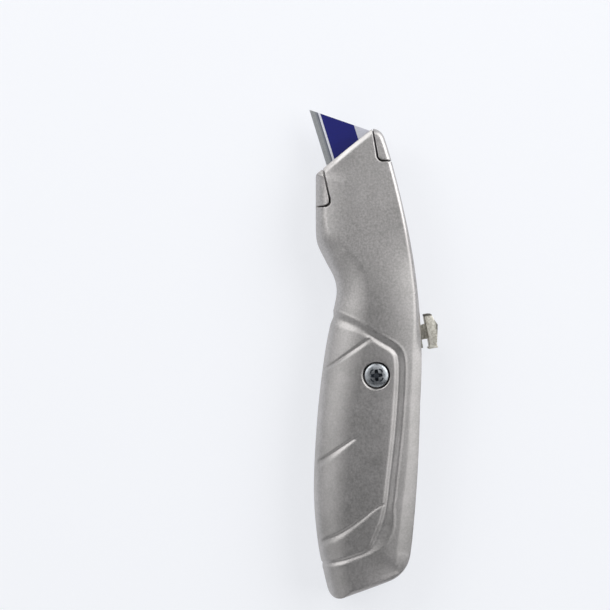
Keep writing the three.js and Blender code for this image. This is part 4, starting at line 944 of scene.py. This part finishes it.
# Rolled and tempered strip: a smooth dark grey that shifts slowly from blue to straw.
spring_steel, tree = new_material("tempered_spring_steel")
place = node(tree, "ShaderNodeTexCoord").outputs["Object"]
temper = node(tree, "ShaderNodeTexNoise", {
    "Vector": place, "Scale": 1 / (3 * MM), "Detail": 3.0, "Roughness": 0.5,
})
tone = node(tree, "ShaderNodeValToRGB", {
    "Fac": temper.outputs["Fac"],
}, stops=[(0.3, colour("6c6e73")), (0.7, colour("9a9894"))])
shader = node(tree, "ShaderNodeBsdfPrincipled", {
    "Base Color": tone.outputs["Color"], "Metallic": 1.0, "Roughness": 0.3,
})
node(tree, "ShaderNodeOutputMaterial", {"Surface": shader.outputs["BSDF"]})
for cad_node, name, body, slot, material, edge in (
    ("lock_spring", "lock_leaf_spring", "carriage", "spring_steel", spring_steel, 0.1),
    ("lock_spring_rivet_1", "spring_rivet_front", "carriage", "plated_steel", plated_steel, 0.15),
    ("lock_spring_rivet_2", "spring_rivet_rear", "carriage", "plated_steel", plated_steel, 0.15),
    ("storage_clip", "spare_blade_clip", "rear_half", "spring_steel", spring_steel, 0.1),
    ("clip_rivet", "spare_clip_rivet", "rear_half", "plated_steel", plated_steel, 0.15),
):
    made = finished(shape(softened(cad_node, edge)), name, material)
    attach(made, body)
    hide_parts(cad_node)

# ---- Thumb button ---------------------------------------------------------------------------
# A small tumbled zinc casting: a humped pad with ridges across it for the thumb, on a flat stem
# that passes through the spine slot and rests on the lock spring.
BUTTON_PLACE = (15.5, -18.05)
BUTTON_ANGLE = 9.8
PAD_HALF = 6.3
PAD_HALF_WIDTH = 5.5
PAD_SHAPE = ([-6.3, -5.6, -2.2, -0.4, 1.6, 3.4, 6.3], [3.2, 3.0, 3.95, 4.5, 4.6, 3.75, 2.75])
RIDGES = 7
RIDGE_DEPTH = 0.32
STEM_HALF = 2.65
STEM_REACH = 9.4


def pad_height(x):
    """How far the pad's outer side stands off the stem's top at a place along it."""
    return float(np.interp(x, *PAD_SHAPE))


def slab(plan, half, edge):
    """A plate with that plan, centred on the parting plane, with its edges rounded over."""
    bm = bmesh.new()
    face = bm.faces.new([bm.verts.new((x, y, PARTING - half)) for x, y in plan])
    raised = bmesh.ops.extrude_face_region(bm, geom=[face])["geom"]
    raised = [item for item in raised if isinstance(item, bmesh.types.BMVert)]
    bmesh.ops.translate(bm, verts=raised, vec=(0, 0, 2 * half))
    if edge:
        bmesh.ops.bevel(
            bm, geom=list(bm.edges), offset=edge, segments=3, profile=0.5, affect="EDGES",
            material=-1, clamp_overlap=True,
        )
    return faced_out(bm)


pad = [(PAD_HALF, -0.35), (PAD_HALF, -2.3), (PAD_HALF - 0.4, -pad_height(PAD_HALF - 0.4))]
pad += [(x, -pad_height(x)) for x in (3.4, 1.8)]
pad += [(-PAD_HALF + 0.7, -pad_height(-PAD_HALF + 0.7)), (-PAD_HALF + 0.25, -3.4)]
pad += [(-PAD_HALF, -3.15), (-PAD_HALF, 0.1), (-PAD_HALF + 0.5, 0.1), (-PAD_HALF + 0.9, -0.5)]
pad += [(-STEM_HALF - 0.2, -0.5), (STEM_HALF + 0.4, -0.35)]
button = shape(slab(pad[::-1], PAD_HALF_WIDTH, 0.22))
for number in range(RIDGES):
    x = 1.1 - number * (PAD_HALF + 0.2) / RIDGES
    top = -pad_height(x) + RIDGE_DEPTH
    section = [(x - 0.22, top), (x + 0.02, top), (x + 0.3, top - 1.2), (x - 0.5, top - 1.2)]
    notch = slab(section, PAD_HALF_WIDTH + 1.5, 0)
    combined(button, shape(notch), "DIFFERENCE")
stem = [(-STEM_HALF, -0.9), (STEM_HALF, -0.9), (STEM_HALF, STEM_REACH), (-STEM_HALF, STEM_REACH)]
combined(button, shape(slab(stem, 1.6, 0.2)), "UNION")
collar = [(-STEM_HALF, -0.8), (STEM_HALF + 0.15, -0.8), (STEM_HALF + 0.15, 0.7), (-STEM_HALF, 0.7)]
combined(button, shape(slab(collar, 2.0, 0.2)), "UNION")
button.data.transform(
    Matrix.Translation((*BUTTON_PLACE, 0)) @ Matrix.Rotation(math.radians(BUTTON_ANGLE), 4, "Z")
)

# Barrel-tumbled zinc: brighter than the body, a little yellow, and pitted where it was dented. Its
# front end and its ridged rim are darkened with painted shade.
tumbled_zinc, tree = new_material("tumbled_zinc")
place = node(tree, "ShaderNodeTexCoord").outputs["Object"]
dents = node(tree, "ShaderNodeTexNoise", {
    "Vector": place, "Scale": 1 / (0.9 * MM), "Detail": 3.0, "Roughness": 0.65,
})
tone = node(tree, "ShaderNodeValToRGB", {
    "Fac": dents.outputs["Fac"],
}, stops=[(0.3, colour("bdb8ab")), (0.62, colour("efece2"))])
tumbled = node(tree, "ShaderNodeBump", {
    "Height": dents.outputs["Fac"], "Strength": 0.6, "Distance": 0.1 * MM,
})
on_button = node(tree, "ShaderNodeMapping", {
    "Vector": place, "Location": (BUTTON_PLACE[0] * MM, BUTTON_PLACE[1] * MM, 0),
    "Rotation": (0, 0, math.radians(BUTTON_ANGLE)),
}, vector_type="TEXTURE")
axes = node(tree, "ShaderNodeSeparateXYZ", {"Vector": on_button.outputs["Vector"]})
# Painted shade: the pad's front end and its ridged rim are darkened in colour.
at_end = node(tree, "ShaderNodeMapRange", {
    "Value": axes.outputs["X"],
    "From Min": (PAD_HALF - 0.95) * MM, "From Max": (PAD_HALF - 0.7) * MM,
})
rim = node(tree, "ShaderNodeMapRange", {
    "Value": axes.outputs["Y"], "From Min": -3.3 * MM, "From Max": -4.1 * MM,
})
end_or_rim = node(tree, "ShaderNodeMath", {
    0: at_end.outputs["Result"], 1: rim.outputs["Result"],
}, operation="MAXIMUM")
painted_end_shade = node(tree, "ShaderNodeMath", {0: end_or_rim.outputs[0], 1: 0.8}, operation="MULTIPLY")
end_shade_mixed = node(tree, "ShaderNodeMix", {
    0: painted_end_shade.outputs[0], 6: tone.outputs["Color"], 7: colour("35342f"),
}, data_type="RGBA")
shader = node(tree, "ShaderNodeBsdfPrincipled", {
    "Base Color": end_shade_mixed.outputs[2], "Metallic": 1.0, "Roughness": 0.5,
    "Normal": tumbled.outputs["Normal"],
})
node(tree, "ShaderNodeOutputMaterial", {"Surface": shader.outputs["BSDF"]})
button = finished(button, "thumb_button_casting", tumbled_zinc, 35)
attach(button, "button")
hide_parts("thumb_button")

# ---- Table and studio -----------------------------------------------------------------------
# A plain white table in a dim, even room. Large soft lamps stand round it on the spine and belly
# sides, past the nose and past the butt, and three small ones hang over the face.
bm = bmesh.new()
bmesh.ops.create_grid(bm, x_segments=1, y_segments=1, size=6000)
table = shape(bm, "table")
table.data.transform(Matrix.Scale(MM, 4))
table_white, tree = new_material("white_table")
matt = node(tree, "ShaderNodeBsdfDiffuse", {"Color": colour("f2f4f8")})
shaded = node(tree, "ShaderNodeBsdfDiffuse", {"Color": colour("a2a3a6")})
lit = node(tree, "ShaderNodeEmission", {"Color": colour("f4f6fa"), "Strength": 0.67})
both = node(tree, "ShaderNodeAddShader", {0: shaded.outputs[0], 1: lit.outputs[0]})
seen = node(tree, "ShaderNodeLightPath")
direct = node(tree, "ShaderNodeMath", {
    0: seen.outputs["Is Camera Ray"], 1: seen.outputs["Is Glossy Ray"],
}, operation="MAXIMUM")
through = node(tree, "ShaderNodeMath", {
    0: direct.outputs[0], 1: seen.outputs["Is Transmission Ray"],
}, operation="MAXIMUM")
mixed = node(tree, "ShaderNodeMixShader", {
    "Fac": through.outputs[0], 1: matt.outputs[0], 2: both.outputs[0],
})
node(tree, "ShaderNodeOutputMaterial", {"Surface": mixed.outputs[0]})
table.data.materials.append(table_white)

world = bpy.data.worlds.new("room")
bpy.context.scene.world = world
world.use_nodes = True
tree = world.node_tree
tree.nodes.clear()
room = node(tree, "ShaderNodeBackground", {"Color": colour("c9ccd2"), "Strength": 0.16})
node(tree, "ShaderNodeOutputWorld", {"Surface": room.outputs[0]})


def lamp(name, place, aim, size, power):
    data = bpy.data.lights.new(name, "AREA")
    data.shape = "RECTANGLE"
    data.size, data.size_y = size[0] * MM, size[1] * MM
    data.energy = power
    made = bpy.data.objects.new(name, data)
    made.location = Vector(place) * MM
    made.rotation_euler = (Vector(aim) - Vector(place)).to_track_quat("-Z", "Y").to_euler()
    made.visible_camera = False
    bpy.context.scene.collection.objects.link(made)


lamp("spine_lamp", (250, -850, 760), (0, 0, 0), (1200, 900), 5.4)
lamp("belly_lamp", (-40, 1000, 520), (0, 0, 0), (1500, 900), 2.0)
lamp("nose_belly_lamp", (700, 590, 630), (0, 0, 0), (1000, 800), 5.2)
lamp("nose_spine_lamp", (680, -680, 520), (0, 0, 0), (1000, 900), 4.5)
lamp("butt_lamp", (-950, 0, 560), (0, 0, 0), (1200, 800), 1.7)
lamp("overhead_lamp", (260, -20, 620), (100, 0, 0), (300, 300), 0.15)
lamp("waist_lamp", (0, 300, 480), (30, 10, 0), (350, 250), 0.16)
lamp("grip_spine_lamp", (-30, -260, 560), (-30, -10, 0), (300, 250), 0.06)

bpy.context.scene.view_settings.view_transform = "Standard"
